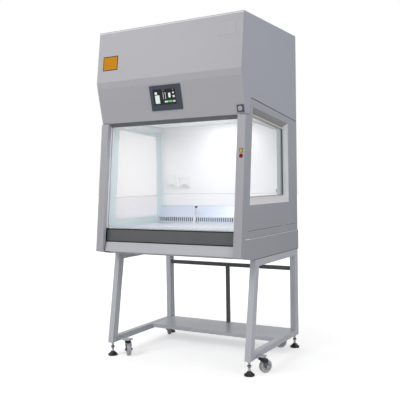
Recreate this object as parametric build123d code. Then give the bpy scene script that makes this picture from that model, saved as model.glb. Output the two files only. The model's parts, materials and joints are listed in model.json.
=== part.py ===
from build123d import *
import math
import os

# Biological safety cabinet on its stand, in millimetres.
# The model is laid out on the cabinet's own centre line: X to the viewer's right, Y to the
# back, Z up, with Y = 0 at the top front edge of the hood and Z = 0 on the floor.
# Each piece is moved at the very end so that the origin is under the middle of the whole.

# Overall cabinet
WIDTH = 1000.0
DEPTH = 757.0
TOP_Z = 2026.0
BASE_Z = 647.0
SHEET = 1.5
SEAM = 3.0
GAP = 0.3

# Leaning front: the front plane passes through Y = 0 at this height
LEAN_DEG = 6.08
LEAN_Z = 1452.0
PILLAR_W = 50.0
PILLAR_RETURN = 26.0
PILLAR_TOP_Z = 1463.0
PILLAR_FOOT_Z = 675.5
TOE_Y = 32.0
TOE_Z = 653.6
HEEL_Y = 126.0

# Hood
CREASE_HIGH = (-43.2, 1714.7)
CREASE_LOW = (-37.8, 1675.3)
HOOD_EDGE = (9.1, 1466.0)
SOFFIT_EDGE = (34.0, 1443.0)
CHEEK_Y = 49.0
SEAM_FRONT = (75.5, 1561.0)
SEAM_REAR_Z = 1479.0
HOOD_CORNER_R = 3.0
TOP_PLATE = 4.0

# Work chamber
LINER_X = 452.0
LINER_T = 2.0
BACK_WALL_Y = 597.0
BACK_WALL_T = 2.0
CEILING_Z = 1478.0
WORKTOP_Z = 816.0
WORKTOP_EDGE = 22.0
LINER_FOOT_Z = 762.0
LINER_REAR_Y = 640.0
BAFFLE_TOP_Z = 931.0
BAFFLE_BEND_Z = 858.0
BAFFLE_REACH = 49.0
COMB_PITCH = 16.0
COMB_SLOT_W = 8.0
COMB_SLOT_H = 26.0
COMB_FOOT = 11.0

# Side windows: opening in the outer skin, and the smaller depth of the inner pane
WINDOW_FRONT = 88.0
WINDOW_REAR_Y = 611.0
WINDOW_SILL_Z = 959.0
WINDOW_TOP_Z = 1511.0
WINDOW_TOP_FALL = 0.1119
SILL_RISE = 42.0
HEAD_DROP = 22.0
REVEAL_X = 460.6
APERTURE_FRONT = 122.0
APERTURE_REAR_Y = 537.0
APERTURE_SILL_Z = 866.0
APERTURE_TOP_FRONT_Z = 1440.0
APERTURE_TOP_REAR_Z = 1408.0
GLASS_T = 6.0
GLASS_LAP = 12.0

# Sash and its guides, depths measured square to the leaning front
SASH_DEPTH = 40.0
SASH_T = 6.0
SASH_HALF_W = 454.0
SASH_FOOT_Z = 826.0
SASH_HEAD_Z = 1530.0
SASH_TRAVEL = 420.0
GUIDE_X = 448.0
GUIDE_W = 12.0
GUIDE_FRONT = 26.6
GUIDE_REAR = 58.0
GROOVE_DEEP = 8.0
GROOVE_PLAY = 1.0
SEAL_H = 9.0
BAR_H = 16.0
BAR_T = 14.0
BAR_GRIP = 7.0
BAR_HALF_W = 486.0
BELT_X = 478.0
BELT_W = 10.0
BELT_T = 2.0
PULLEY_R = 18.0
PULLEY_W = 12.0
PULLEY_TEETH = 20
SHAFT_R = 5.0
RUN_CLEAR = 0.05
DRIVE_Z = 1996.0
IDLER_Z = 1506.0

# Front below the sash
APRON_DEPTH = 33.0
APRON_LOW_Z = 738.0
APRON_HIGH_Z = 808.0
APRON_T = 24.0
APRON_HALF_W = 446.0
PANEL_LOW = (-65.0, 677.0)
PANEL_HIGH = (-50.0, 733.0)
PANEL_FLANGE = 26.0
GRILLE_W = 72.0
GRILLE_PITCH = 13.5
GRILLE_SLOT_W = 7.5
GRILLE_SLOT_L = 50.0
REAR_STEP = 13.0
REAR_SET = 1.8
REAR_STEP_Z = 773.0
GROOVE_A_Z = 816.0
GROOVE_W = 2.0
GROOVE_DEPTH = 0.8

# Air handling inside the hood
FILTER_X = 446.0
FILTER_FRONT_Y = 76.0
FILTER_H = 69.0
FILTER_RIM = 20.0
PLEAT_PITCH = 24.0
PLENUM_X = 440.0
PLENUM_FRONT_Y = 116.0
PLENUM_REAR_Y = 745.0
PLENUM_TOP_Z = 1790.0
BLOWER_X = -170.0
BLOWER_Y = 430.0
BLOWER_R = 140.0
BLOWER_EYE_R = 92.0
BLOWER_H = 110.0
BLOWER_BLADES = 14
MOTOR_R = 66.0
MOTOR_H = 90.0
MOTOR_SHAFT_R = 7.5
EXHAUST_X = (70.0, 420.0)
EXHAUST_Y = (230.0, 690.0)
EXHAUST_H = 100.0
LAMP_R = 8.0
LAMP_HALF_W = 425.0
LAMP_Y = 21.0
LAMP_Z = 1494.0

# Controls on the lower slope of the hood
BEZEL_X = (-112.0, 101.0)
BEZEL_Z = (1520.0, 1664.0)
BEZEL_T = 6.0
SCREEN_X = (-89.0, 66.0)
SCREEN_Z = (1551.0, 1641.0)
SCREEN_SUNK = 1.0
HMI_DEEP = 26.0
HMI_RIM = 11.0
KEY_PLATE = 44.0
KEY_CENTRE = (468.5, 1497.0)
KEY_PLATE_T = 3.0
KEY_R = 13.0
KEY_PROUD = 6.0
KEY_BODY_LEN = 22.0

# Fittings in the chamber
SOCKET_X = (-359.5, -257.0)
SOCKET_Z = 1102.5
SOCKET_W = 80.0
SOCKET_H = 88.0
SOCKET_PROUD = 10.0
SOCKET_DEEP = 38.0
SOCKET_WELL_R = 21.0
LID_SIZE = 66.0
LID_T = 5.0
LID_PIN_R = 2.5
TAP_X = -155.0
TAP_LEAN_DEG = 10.0
TAP_STEM_LEN = 106.0
TAP_STEM_R = 3.5
TAP_BODY_R = 7.5
TAP_BODY_LEN = 50.0
TAP_KNOB_R = 8.5
TAP_KNOB_H = 13.0
PORT_Y = 553.0
PORT_Z = 1032.0
PORT_R = 13.0

# Stand
TUBE_X = 38.0
TUBE_Y = 50.0
TUBE_R = 3.0
RAIL_TOP_H = 41.0
RAIL_LOW = (84.0, 120.0)
FRONT_LEG_Y = 16.0
FRONT_LEG_LEAN_DEG = 9.5
REAR_LEG_Y = 707.0
BEAM_Z = (506.0, 531.0)
BEAM_Y = (719.0, 749.0)
POST_W = 22.0
POST_X = -8.0
SHELF_Y = (460.0, 745.0)
SHELF_Z = 118.0
SHELF_LIP = 24.0

# Levelling feet
FOOT_R = 30.0
FOOT_PAD_H = 9.0
FOOT_DOME_H = 22.0
FOOT_STEM_R = 6.0
FOOT_BORE_CLEAR = 0.4
FOOT_STEM_IN = 30.0
FOOT_COLLAR_R = 11.5
FOOT_COLLAR_Z = (47.0, 61.0)
FOOT_NUT_R = 10.5
FOOT_NUT_H = 9.0

# Castors: pivot X, pivot Y and the way each trails, in degrees from +X
CASTORS = {
    "front_left": (-398.0, 91.0, -45.0),
    "front_right": (524.0, 114.0, 53.0),
    "rear_left": (-438.0, 640.0, 120.0),
    "rear_right": (382.0, 668.0, 30.0),
}
WHEEL_R = 38.0
WHEEL_W = 25.0
WHEEL_HUB_W = 29.0
WHEEL_CLEAR_Z = 1.5
CASTOR_TRAIL = 25.0
FORK_T = 2.5
FORK_IN = 15.6
CROWN_T = 3.0
CROWN_GAP = 3.0
PIN_R = 5.0
RACE_R = 17.0
RACE_H = 10.0
HEAD_PLATE = 44.0
HEAD_PLATE_T = 3.0
BRACKET_T = 4.0
BRACKET_W = 50.0
AXLE_R = 4.0

HALF_W = WIDTH / 2
TAN = math.tan(math.radians(LEAN_DEG))
SIN = math.sin(math.radians(LEAN_DEG))
COS = math.cos(math.radians(LEAN_DEG))
WHEEL_Z = WHEEL_R + WHEEL_CLEAR_Z
SLOPE_DY = HOOD_EDGE[0] - CREASE_LOW[0]
SLOPE_DZ = HOOD_EDGE[1] - CREASE_LOW[1]
SLOPE_LEN = math.hypot(SLOPE_DY, SLOPE_DZ)
GRILLE_EDGE = WORKTOP_Z - APRON_HIGH_Z - GAP
LEG_X = HALF_W - TUBE_X / 2
FOOT_FRONT_Y = FRONT_LEG_Y + TUBE_Y / 2
FOOT_REAR_Y = REAR_LEG_Y + TUBE_Y / 2


def front_y(z, depth=0.0):
    """Y of the leaning front plane at a height, or of a plane behind it."""
    return (z - LEAN_Z) * TAN + depth


def castor_reach_x():
    """How far the front right castor stands out to the right."""
    pivot_x, _, heading = CASTORS["front_right"]
    turn = math.radians(heading)
    wheel_x = pivot_x + CASTOR_TRAIL * math.cos(turn)
    return wheel_x + WHEEL_R * abs(math.cos(turn)) + WHEEL_W / 2 * abs(math.sin(turn))


ORIGIN_X = (castor_reach_x() - HALF_W) / 2
ORIGIN_Y = (front_y(PILLAR_FOOT_Z) + DEPTH + REAR_STEP) / 2


# Small helpers

def block(x0, x1, y0, y1, z0, z1):
    """Box between two corners."""
    middle = Pos((x0 + x1) / 2, (y0 + y1) / 2, (z0 + z1) / 2)
    return middle * Box(abs(x1 - x0), abs(y1 - y0), abs(z1 - z0))


def side_prism(points, x0, x1):
    """Outline in Y and Z, drawn out along X."""
    plane = Plane(origin=(x0, 0, 0), x_dir=(0, 1, 0), z_dir=(1, 0, 0))
    return extrude(plane * Polygon(*points, align=None), amount=x1 - x0, dir=(1, 0, 0))


def rod(radius, start, end):
    """Round bar between two points."""
    axis = Vector(*end) - Vector(*start)
    plane = Plane(origin=start, z_dir=axis)
    return plane * Cylinder(radius, axis.length, align=(Align.CENTER, Align.CENTER, Align.MIN))


def strip(start, end, thick, x0, x1):
    """Flat sheet whose outer face runs from start to end in Y and Z."""
    dy = end[0] - start[0]
    dz = end[1] - start[1]
    run = math.hypot(dy, dz)
    ny = -dz / run * thick
    nz = dy / run * thick
    return side_prism([start, end, (end[0] + ny, end[1] + nz), (start[0] + ny, start[1] + nz)], x0, x1)


def mirrored(shape):
    """The same piece on the other side of the cabinet."""
    return mirror(shape, about=Plane.YZ)


def lean(x, depth, z):
    """Point at a height, a depth square to the leaning front behind it."""
    return (x, front_y(z) + depth / COS, z)


def lean_frame(depth, z):
    """Frame with Z up along the leaning front and Y square to it, pointing back."""
    return Pos(*lean(0, depth, z)) * Rot(X=-LEAN_DEG)


def slope_y(z):
    """Y of the hood's lower slope at a height."""
    return CREASE_LOW[0] + SLOPE_DY * (z - CREASE_LOW[1]) / SLOPE_DZ


def slope_frame(x, z):
    """Frame on the hood's lower slope: Y up along it, Z out of it towards the user."""
    outward = (0, SLOPE_DZ / SLOPE_LEN, -SLOPE_DY / SLOPE_LEN)
    return Plane(origin=(x, slope_y(z), z), x_dir=(1, 0, 0), z_dir=outward)


def save(name, shape):
    """Move a piece to the part's own origin and write it."""
    export_step(Pos(-ORIGIN_X, -ORIGIN_Y, 0) * shape, f"parts/{name}.step")


def group(solids):
    """Several separate solids in one node."""
    return Compound([s for piece in solids for s in piece.solids()])


# Hood and covers

def hood_shell():
    inner = HALF_W - SHEET
    outline = [
        (0, TOP_Z),
        CREASE_HIGH,
        CREASE_LOW,
        HOOD_EDGE,
        (CHEEK_Y, HOOD_EDGE[1]),
        SEAM_FRONT,
        (DEPTH, SEAM_REAR_Z),
        (DEPTH, TOP_Z),
    ]
    shell = side_prism(outline, -HALF_W, HALF_W)
    corners = [
        e for e in shell.edges()
        if abs(abs(e.center().X) - HALF_W) < 0.01 and e.center().Y < 0
        and HOOD_EDGE[1] < e.center().Z < TOP_Z - 1
    ]
    shell = fillet(corners, HOOD_CORNER_R)
    below = HOOD_EDGE[1] - 2 * SEAM
    slope = SLOPE_DY / SLOPE_DZ
    room = [
        (SHEET, TOP_Z),
        (CREASE_HIGH[0] + SHEET, CREASE_HIGH[1]),
        (CREASE_LOW[0] + SHEET, CREASE_LOW[1]),
        (HOOD_EDGE[0] + SHEET + slope * (below - HOOD_EDGE[1]), below),
        (DEPTH + SHEET, below),
        (DEPTH + SHEET, TOP_Z + SHEET),
        (SHEET, TOP_Z + SHEET),
    ]
    shell -= side_prism(room, -inner, inner)
    soffit_x = GUIDE_X - 2 * GAP
    lift = SHEET * 0.7
    soffit = side_prism(
        [
            HOOD_EDGE,
            SOFFIT_EDGE,
            (SOFFIT_EDGE[0], SOFFIT_EDGE[1] + 2 * SHEET),
            (HOOD_EDGE[0] + SHEET, HOOD_EDGE[1] + lift),
        ],
        -soffit_x, soffit_x,
    )
    shell += soffit
    bezel_mid = ((BEZEL_X[0] + BEZEL_X[1]) / 2, (BEZEL_Z[0] + BEZEL_Z[1]) / 2)
    hole_w = BEZEL_X[1] - BEZEL_X[0] - 2 * HMI_RIM + 2
    hole_h = (BEZEL_Z[1] - BEZEL_Z[0]) - 2 * HMI_RIM + 2
    shell -= slope_frame(*bezel_mid) * Box(hole_w, hole_h, 6 * SHEET)
    shell -= slope_frame(*KEY_CENTRE) * Cylinder(KEY_R - 2 + GAP, 6 * SHEET)
    return shell


def exhaust_outline(spare):
    return (EXHAUST_X[0] - spare, EXHAUST_X[1] + spare, EXHAUST_Y[0] - spare, EXHAUST_Y[1] + spare)


def top_cover():
    plate = block(-HALF_W, HALF_W, 0, DEPTH, TOP_Z, TOP_Z + TOP_PLATE)
    x0, x1, y0, y1 = exhaust_outline(GAP)
    return plate - block(x0, x1, y0, y1, TOP_Z - 1, TOP_Z + TOP_PLATE + 1)


def back_cover():
    x = HALF_W - SHEET - GAP
    sheet = block(-x, x, DEPTH - SHEET, DEPTH, REAR_STEP_Z + 1, TOP_Z - 1)
    for x_mid in (-180, 180):
        slots = [
            block(x_mid - 70, x_mid + 70, DEPTH - 2 * SHEET, DEPTH + 1, z, z + 6)
            for z in range(1640, 1760, 20)
        ]
        sheet -= slots
    return sheet


# Side frames, liners and side windows

def window_outline(x_depth_share):
    """Opening in the side, from the outer skin (0) to the glass (1)."""
    sill = WINDOW_SILL_Z + SILL_RISE * x_depth_share
    top = WINDOW_TOP_Z - HEAD_DROP * x_depth_share
    front_low = front_y(sill, WINDOW_FRONT)
    front_high = front_y(top, WINDOW_FRONT)
    rear_top = top - (WINDOW_REAR_Y - front_high) * WINDOW_TOP_FALL
    return [
        (front_low, sill),
        (front_high, top),
        (WINDOW_REAR_Y, rear_top),
        (WINDOW_REAR_Y, sill),
    ]


def grown(points, by):
    """Outline moved outward by a distance, for a convex shape."""
    cy = sum(p[0] for p in points) / len(points)
    cz = sum(p[1] for p in points) / len(points)
    lines = []
    for (y0, z0), (y1, z1) in zip(points, points[1:] + points[:1]):
        run = math.hypot(y1 - y0, z1 - z0)
        ny, nz = (z1 - z0) / run, -(y1 - y0) / run
        side = ny * (y0 - cy) + nz * (z0 - cz)
        if side < 0:
            ny, nz, side = -ny, -nz, -side
        lines.append((ny, nz, ny * y0 + nz * z0 + by))
    out = []
    for (a, b, c), (d, e, f) in zip(lines[-1:] + lines[:-1], lines):
        det = a * e - b * d
        out.append(((c * e - b * f) / det, (a * f - c * d) / det))
    return out


def window_throat(spare, x_in, x_out):
    """Tapered solid through the side, as wide as the opening plus a spare."""
    def face(x, share):
        plane = Plane(origin=(x, 0, 0), x_dir=(0, 1, 0), z_dir=(1, 0, 0))
        return plane * Polygon(*grown(window_outline(share), spare), align=None)
    span = HALF_W - REVEAL_X
    return loft([face(x_in, (HALF_W - x_in) / span), face(x_out, (HALF_W - x_out) / span)])


def seam_z(y, below=0.0):
    """Height of the long seam under the hood's side."""
    fall = (SEAM_FRONT[1] - SEAM_REAR_Z) / (DEPTH - SEAM_FRONT[0])
    return SEAM_FRONT[1] - (y - SEAM_FRONT[0]) * fall - below


def side_outline(inset):
    """Side of the lower cabinet; an inset leaves the top open."""
    foot = PILLAR_FOOT_Z + inset
    rear = DEPTH - inset - REAR_SET if inset else DEPTH
    top = PILLAR_TOP_Z if inset == 0 else PILLAR_TOP_Z + 200
    shape = [
        (front_y(foot, inset), foot),
        (TOE_Y, TOE_Z + inset),
        (HEEL_Y, BASE_Z + inset),
        (rear, BASE_Z + inset),
    ]
    if inset:
        return shape + [(rear, top), (front_y(top, inset), top)]
    cheek = CHEEK_Y + GAP
    return shape + [
        (DEPTH, seam_z(DEPTH, SEAM)),
        (SEAM_FRONT[0] + GAP, seam_z(SEAM_FRONT[0], SEAM)),
        (cheek, PILLAR_TOP_Z),
        (front_y(PILLAR_TOP_Z), PILLAR_TOP_Z),
    ]


def side_frame():
    """Folded right side: outer skin, pillar, window reveal and foot."""
    inner_x = HALF_W - PILLAR_W
    frame = side_prism(side_outline(0), inner_x, HALF_W)
    frame -= side_prism(side_outline(SHEET), inner_x + SHEET, HALF_W - SHEET)
    behind = [
        (front_y(600, PILLAR_RETURN), 600),
        (DEPTH + 10, 600),
        (DEPTH + 10, TOP_Z),
        (front_y(TOP_Z, PILLAR_RETURN), TOP_Z),
    ]
    frame -= side_prism(behind, inner_x - 1, REVEAL_X)
    frame -= block(inner_x - 1, HALF_W - SHEET, DEPTH - REAR_SET, DEPTH + 1, 600, TOP_Z)
    reveal = window_throat(SHEET, REVEAL_X, HALF_W)
    frame += reveal
    frame -= window_throat(0, REVEAL_X - 1, HALF_W + 1)
    groove_x = HALF_W - GROOVE_DEPTH
    for z, y_front in ((GROOVE_A_Z, 9.0), (REAR_STEP_Z, -22.0)):
        frame -= block(groove_x, HALF_W + 1, y_front, DEPTH + 1, z - GROOVE_W / 2, z + GROOVE_W / 2)
    return frame


def aperture_outline():
    return [
        (front_y(APERTURE_SILL_Z, APERTURE_FRONT), APERTURE_SILL_Z),
        (front_y(APERTURE_TOP_FRONT_Z, APERTURE_FRONT), APERTURE_TOP_FRONT_Z),
        (APERTURE_REAR_Y, APERTURE_TOP_REAR_Z),
        (APERTURE_REAR_Y, APERTURE_SILL_Z),
    ]


def side_liner():
    """Steel wall of the chamber with the window cut in it, right side."""
    top = CEILING_Z
    front = GUIDE_REAR + GAP + 0.6
    wall = side_prism(
        [
            (front_y(LINER_FOOT_Z, front), LINER_FOOT_Z),
            (LINER_REAR_Y, LINER_FOOT_Z),
            (LINER_REAR_Y, top),
            (front_y(top, front), top),
        ],
        LINER_X, LINER_X + LINER_T,
    )
    return wall - side_prism(aperture_outline(), LINER_X - 1, LINER_X + LINER_T + 1)


def side_window():
    """Glass pane behind the aperture, right side."""
    x0 = LINER_X + LINER_T
    return side_prism(grown(aperture_outline(), GLASS_LAP), x0, x0 + GLASS_T)


# Work chamber

def back_wall():
    x = LINER_X - GAP
    wall = block(-x, x, BACK_WALL_Y, BACK_WALL_Y + BACK_WALL_T, BAFFLE_TOP_Z + GAP, CEILING_Z - GAP)
    for socket_x in SOCKET_X:
        hole = SOCKET_W - 14
        high = SOCKET_H - 14
        wall -= block(
            socket_x - hole / 2, socket_x + hole / 2, BACK_WALL_Y - 5, BACK_WALL_Y + 5,
            SOCKET_Z - high / 2, SOCKET_Z + high / 2,
        )
    return wall


def rear_baffle():
    """Sloping sheet over the rear air return, with a comb of slots along its foot."""
    x = LINER_X - GAP
    foot = WORKTOP_Z + GAP
    near = BACK_WALL_Y - BAFFLE_REACH
    sheet = strip((near, BAFFLE_BEND_Z), (BACK_WALL_Y - GAP, BAFFLE_TOP_Z), -SHEET, -x, x)
    sheet += block(-x, x, near, near + SHEET, foot, BAFFLE_BEND_Z + 0.5)
    count = int((2 * x - 20) / COMB_PITCH)
    start = -(count - 1) / 2 * COMB_PITCH
    low = foot + COMB_FOOT
    slots = [
        block(c - COMB_SLOT_W / 2, c + COMB_SLOT_W / 2, near - 2, near + SHEET + 2, low, low + COMB_SLOT_H)
        for c in (start + i * COMB_PITCH for i in range(count))
    ]
    return sheet - slots


def worktop():
    """Removable tray: flat top with its four edges folded down."""
    x = LINER_X - 2 * GAP
    y0 = grille_rear_y() + GAP
    y1 = BACK_WALL_Y - BAFFLE_REACH + 12
    tray = block(-x, x, y0, y1, WORKTOP_Z - WORKTOP_EDGE, WORKTOP_Z)
    return tray - block(
        -x + SHEET, x - SHEET, y0 + SHEET, y1 - SHEET, WORKTOP_Z - WORKTOP_EDGE - 1, WORKTOP_Z - SHEET
    )


def grille_front_y():
    return front_y(WORKTOP_Z, APRON_DEPTH + 0.6)


def grille_rear_y():
    return grille_front_y() + GRILLE_W


def front_grille():
    """Slotted air intake along the front edge of the work surface."""
    x = LINER_X - 2 * GAP
    y0 = grille_front_y()
    y1 = grille_rear_y()
    tray = block(-x, x, y0, y1, WORKTOP_Z - GRILLE_EDGE, WORKTOP_Z)
    tray -= block(
        -x + SHEET, x - SHEET, y0 + SHEET, y1 - SHEET, WORKTOP_Z - GRILLE_EDGE - 1, WORKTOP_Z - SHEET
    )
    count = int((2 * x - 20) / GRILLE_PITCH)
    start = -(count - 1) / 2 * GRILLE_PITCH
    y_mid = y1 - GRILLE_SLOT_L / 2 - 8
    slots = [
        block(
            c - GRILLE_SLOT_W / 2, c + GRILLE_SLOT_W / 2, y_mid - GRILLE_SLOT_L / 2,
            y_mid + GRILLE_SLOT_L / 2, WORKTOP_Z - 2 * SHEET, WORKTOP_Z + 1,
        )
        for c in (start + i * GRILLE_PITCH for i in range(count))
    ]
    return tray - slots


def ceiling_diffuser():
    x = HALF_W - PILLAR_W - 2
    y0 = front_y(CEILING_Z, SASH_DEPTH + SASH_T + 6)
    return block(-x, x, y0, BACK_WALL_Y - GAP, CEILING_Z + GAP, CEILING_Z + GAP + SHEET)


# Front below the sash

def front_apron():
    front = [
        (front_y(APRON_LOW_Z, APRON_DEPTH), APRON_LOW_Z),
        (front_y(APRON_HIGH_Z, APRON_DEPTH), APRON_HIGH_Z),
        (front_y(APRON_HIGH_Z, APRON_DEPTH + APRON_T), APRON_HIGH_Z),
        (front_y(APRON_LOW_Z, APRON_DEPTH + APRON_T), APRON_LOW_Z),
    ]
    bar = side_prism(front, -APRON_HALF_W, APRON_HALF_W)
    long_edges = [e for e in bar.edges().filter_by(Axis.X) if e.center().Y < front[1][0] + 1]
    return fillet(long_edges, 3.0)


def lower_front_panel():
    x = HALF_W - PILLAR_W - 2 * GAP
    sheet = strip(PANEL_HIGH, PANEL_LOW, SHEET, -x, x)
    return sheet + block(
        -x, x, PANEL_HIGH[0], PANEL_HIGH[0] + PANEL_FLANGE, PANEL_HIGH[1] - SHEET, PANEL_HIGH[1]
    )


def base_pan():
    """Sump under the work surface, with the low box across the back."""
    x = HALF_W - PILLAR_W - 2 * GAP
    front = PANEL_LOW[0] + 12
    outline = [
        (front, PANEL_LOW[1]),
        (TOE_Y, TOE_Z + 1),
        (HEEL_Y, BASE_Z + 1),
        (DEPTH - 2 * SHEET, BASE_Z + 1),
        (DEPTH - 2 * SHEET, REAR_STEP_Z - 2),
        (front + 14, REAR_STEP_Z - 45),
    ]
    pan = side_prism(outline, -x, x)
    room = [
        (front + 2 * SHEET, PANEL_LOW[1] + 2 * SHEET),
        (TOE_Y, TOE_Z + 1 + SHEET),
        (HEEL_Y, BASE_Z + 1 + SHEET),
        (DEPTH - 4 * SHEET, BASE_Z + 1 + SHEET),
        (DEPTH - 4 * SHEET, REAR_STEP_Z + 10),
        (front + 14 + 2 * SHEET, REAR_STEP_Z + 10),
    ]
    pan -= side_prism(room, -x + SHEET, x - SHEET)
    back = block(-HALF_W, HALF_W, DEPTH + GAP, DEPTH + REAR_STEP, BASE_Z, REAR_STEP_Z)
    tie = block(-x, x, DEPTH - 3 * SHEET, DEPTH + 1, BASE_Z + 1, BASE_Z + 20)
    return pan + back + tie


# Air handling

def downflow_filter():
    """Filter frame with its pleated pack, set just above the diffuser."""
    z0 = CEILING_Z + 2 * GAP + SHEET
    x = FILTER_X
    y0 = FILTER_FRONT_Y
    y1 = BACK_WALL_Y - GAP
    cell = block(-x, x, y0, y1, z0, z0 + FILTER_H)
    rim = FILTER_RIM
    cell -= block(-x + rim, x - rim, y0 + rim, y1 - rim, z0 + FILTER_H - 12, z0 + FILTER_H + 1)
    cell -= block(-x + rim, x - rim, y0 + rim, y1 - rim, z0 - 1, z0 + 12)
    count = int((2 * x - 2 * rim) / PLEAT_PITCH)
    start = -(count - 1) / 2 * PLEAT_PITCH
    folds = [
        block(c - 3, c + 3, y0 + rim, y1 - rim, z0 + FILTER_H - 24, z0 + FILTER_H)
        for c in (start + i * PLEAT_PITCH for i in range(count))
    ]
    return cell - folds


def plenum_floor_z():
    return CEILING_Z + 3 * GAP + SHEET + FILTER_H


def blower_plenum():
    """Air box above the filter that carries the blower and the exhaust filter."""
    z0 = plenum_floor_z()
    x = PLENUM_X
    box = block(-x, x, PLENUM_FRONT_Y, PLENUM_REAR_Y, z0, PLENUM_TOP_Z)
    box -= block(
        -x + SHEET, x - SHEET, PLENUM_FRONT_Y + SHEET, PLENUM_REAR_Y - SHEET,
        z0 + SHEET, PLENUM_TOP_Z - SHEET,
    )
    rim = FILTER_RIM + 4
    box -= block(-x + rim, x - rim, PLENUM_FRONT_Y + rim, BACK_WALL_Y - rim, z0 - 1, z0 + 2 * SHEET)
    eye = Pos(BLOWER_X, BLOWER_Y, PLENUM_TOP_Z) * Cylinder(BLOWER_EYE_R - 6, 8)
    box -= eye
    x0, x1, y0, y1 = exhaust_outline(-16)
    return box - block(x0, x1, y0, y1, PLENUM_TOP_Z - 5, PLENUM_TOP_Z + 5)


def blower_floor_z():
    return PLENUM_TOP_Z - SHEET - BLOWER_H - 22


def blower_wheel():
    """Backward curved wheel: back plate, blades, front ring and hub, as one casting."""
    z0 = blower_floor_z()
    at = Pos(BLOWER_X, BLOWER_Y, z0)
    low = (Align.CENTER, Align.CENTER, Align.MIN)
    wheel = Cylinder(BLOWER_R, 3, align=low)
    ring = Pos(0, 0, BLOWER_H - 3) * (
        Cylinder(BLOWER_R, 3, align=low) - Cylinder(BLOWER_EYE_R, 3, align=low)
    )
    wheel += ring
    wheel += Cylinder(24, 46, align=low)
    inner = BLOWER_EYE_R - 12
    chord = BLOWER_R - inner + 14
    for i in range(BLOWER_BLADES):
        blade = Pos((BLOWER_R + inner) / 2 - 1, 0, BLOWER_H / 2) * Rot(Z=40) * Box(chord, 2.5, BLOWER_H - 4)
        wheel += Rot(Z=i * 360 / BLOWER_BLADES) * blade
    wheel &= Cylinder(BLOWER_R, BLOWER_H, align=low)
    wheel -= Cylinder(MOTOR_SHAFT_R + RUN_CLEAR, 3 * BLOWER_H)
    return at * wheel


def blower_motor():
    """Motor on a spider over the blower eye, with its shaft down into the hub."""
    at = Pos(BLOWER_X, BLOWER_Y, 0)
    low = (Align.CENTER, Align.CENTER, Align.MIN)
    deck = PLENUM_TOP_Z
    body = Pos(0, 0, deck + 6) * Cylinder(MOTOR_R, MOTOR_H, align=low)
    body = chamfer(body.edges().filter_by(GeomType.CIRCLE).group_by(Axis.Z)[-1], 6)
    arms = [Rot(Z=a) * Pos(0, 0, deck + 3) * Box(2 * BLOWER_EYE_R + 40, 24, 6) for a in (0, 90)]
    shaft = Pos(0, 0, blower_floor_z()) * Cylinder(MOTOR_SHAFT_R, deck - blower_floor_z() + 4, align=low)
    motor = body
    for piece in arms + [shaft]:
        motor += piece
    return at * motor


def exhaust_filter():
    x0, x1, y0, y1 = exhaust_outline(0)
    z0 = PLENUM_TOP_Z + GAP
    cell = block(x0, x1, y0, y1, z0, z0 + EXHAUST_H)
    rim = FILTER_RIM
    cell -= block(x0 + rim, x1 - rim, y0 + rim, y1 - rim, z0 + EXHAUST_H - 10, z0 + EXHAUST_H + 1)
    count = int((x1 - x0 - 2 * rim) / PLEAT_PITCH)
    start = (x0 + x1) / 2 - (count - 1) / 2 * PLEAT_PITCH
    folds = [
        block(c - 3, c + 3, y0 + rim, y1 - rim, z0 + EXHAUST_H - 30, z0 + EXHAUST_H)
        for c in (start + i * PLEAT_PITCH for i in range(count))
    ]
    return cell - folds


def exhaust_guard():
    """Outlet collar from the exhaust filter up through the top, closed by a slotted plate."""
    x0, x1, y0, y1 = exhaust_outline(0)
    z0 = PLENUM_TOP_Z + 2 * GAP + EXHAUST_H
    z1 = TOP_Z + TOP_PLATE
    collar = block(x0, x1, y0, y1, z0, z1)
    collar -= block(x0 + SHEET, x1 - SHEET, y0 + SHEET, y1 - SHEET, z0 - 1, z1 - 2)
    pitch = 30.0
    rows = int((y1 - y0 - 40) / pitch)
    first = (y0 + y1) / 2 - (rows - 1) / 2 * pitch
    mid = (x0 + x1) / 2
    half = (x1 - x0) / 2 - 22
    slots = []
    for i in range(rows):
        y = first + i * pitch
        slots.append(block(mid - half, mid - 6, y - 6, y + 6, z1 - 5, z1 + 1))
        slots.append(block(mid + 6, mid + half, y - 6, y + 6, z1 - 5, z1 + 1))
    return collar - slots


def work_lamp():
    """Lamp tube with its two holders, behind the folded lower edge of the hood."""
    tube = rod(LAMP_R, (-LAMP_HALF_W, LAMP_Y, LAMP_Z), (LAMP_HALF_W, LAMP_Y, LAMP_Z))
    ends = []
    for side in (-1, 1):
        x = side * LAMP_HALF_W
        holder = block(x, x + side * 16, LAMP_Y - 11, LAMP_Y + 11, LAMP_Z - 12, LAMP_Z + 24)
        ends.append(holder)
    tray_y = slope_y(LAMP_Z + 24) + SHEET + GAP
    tray = block(
        -LAMP_HALF_W - 16, LAMP_HALF_W + 16, tray_y, LAMP_Y + 11, LAMP_Z + 24, LAMP_Z + 26
    )
    lamp = tube
    for piece in ends + [tray]:
        lamp += piece
    return lamp


# Controls

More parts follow.
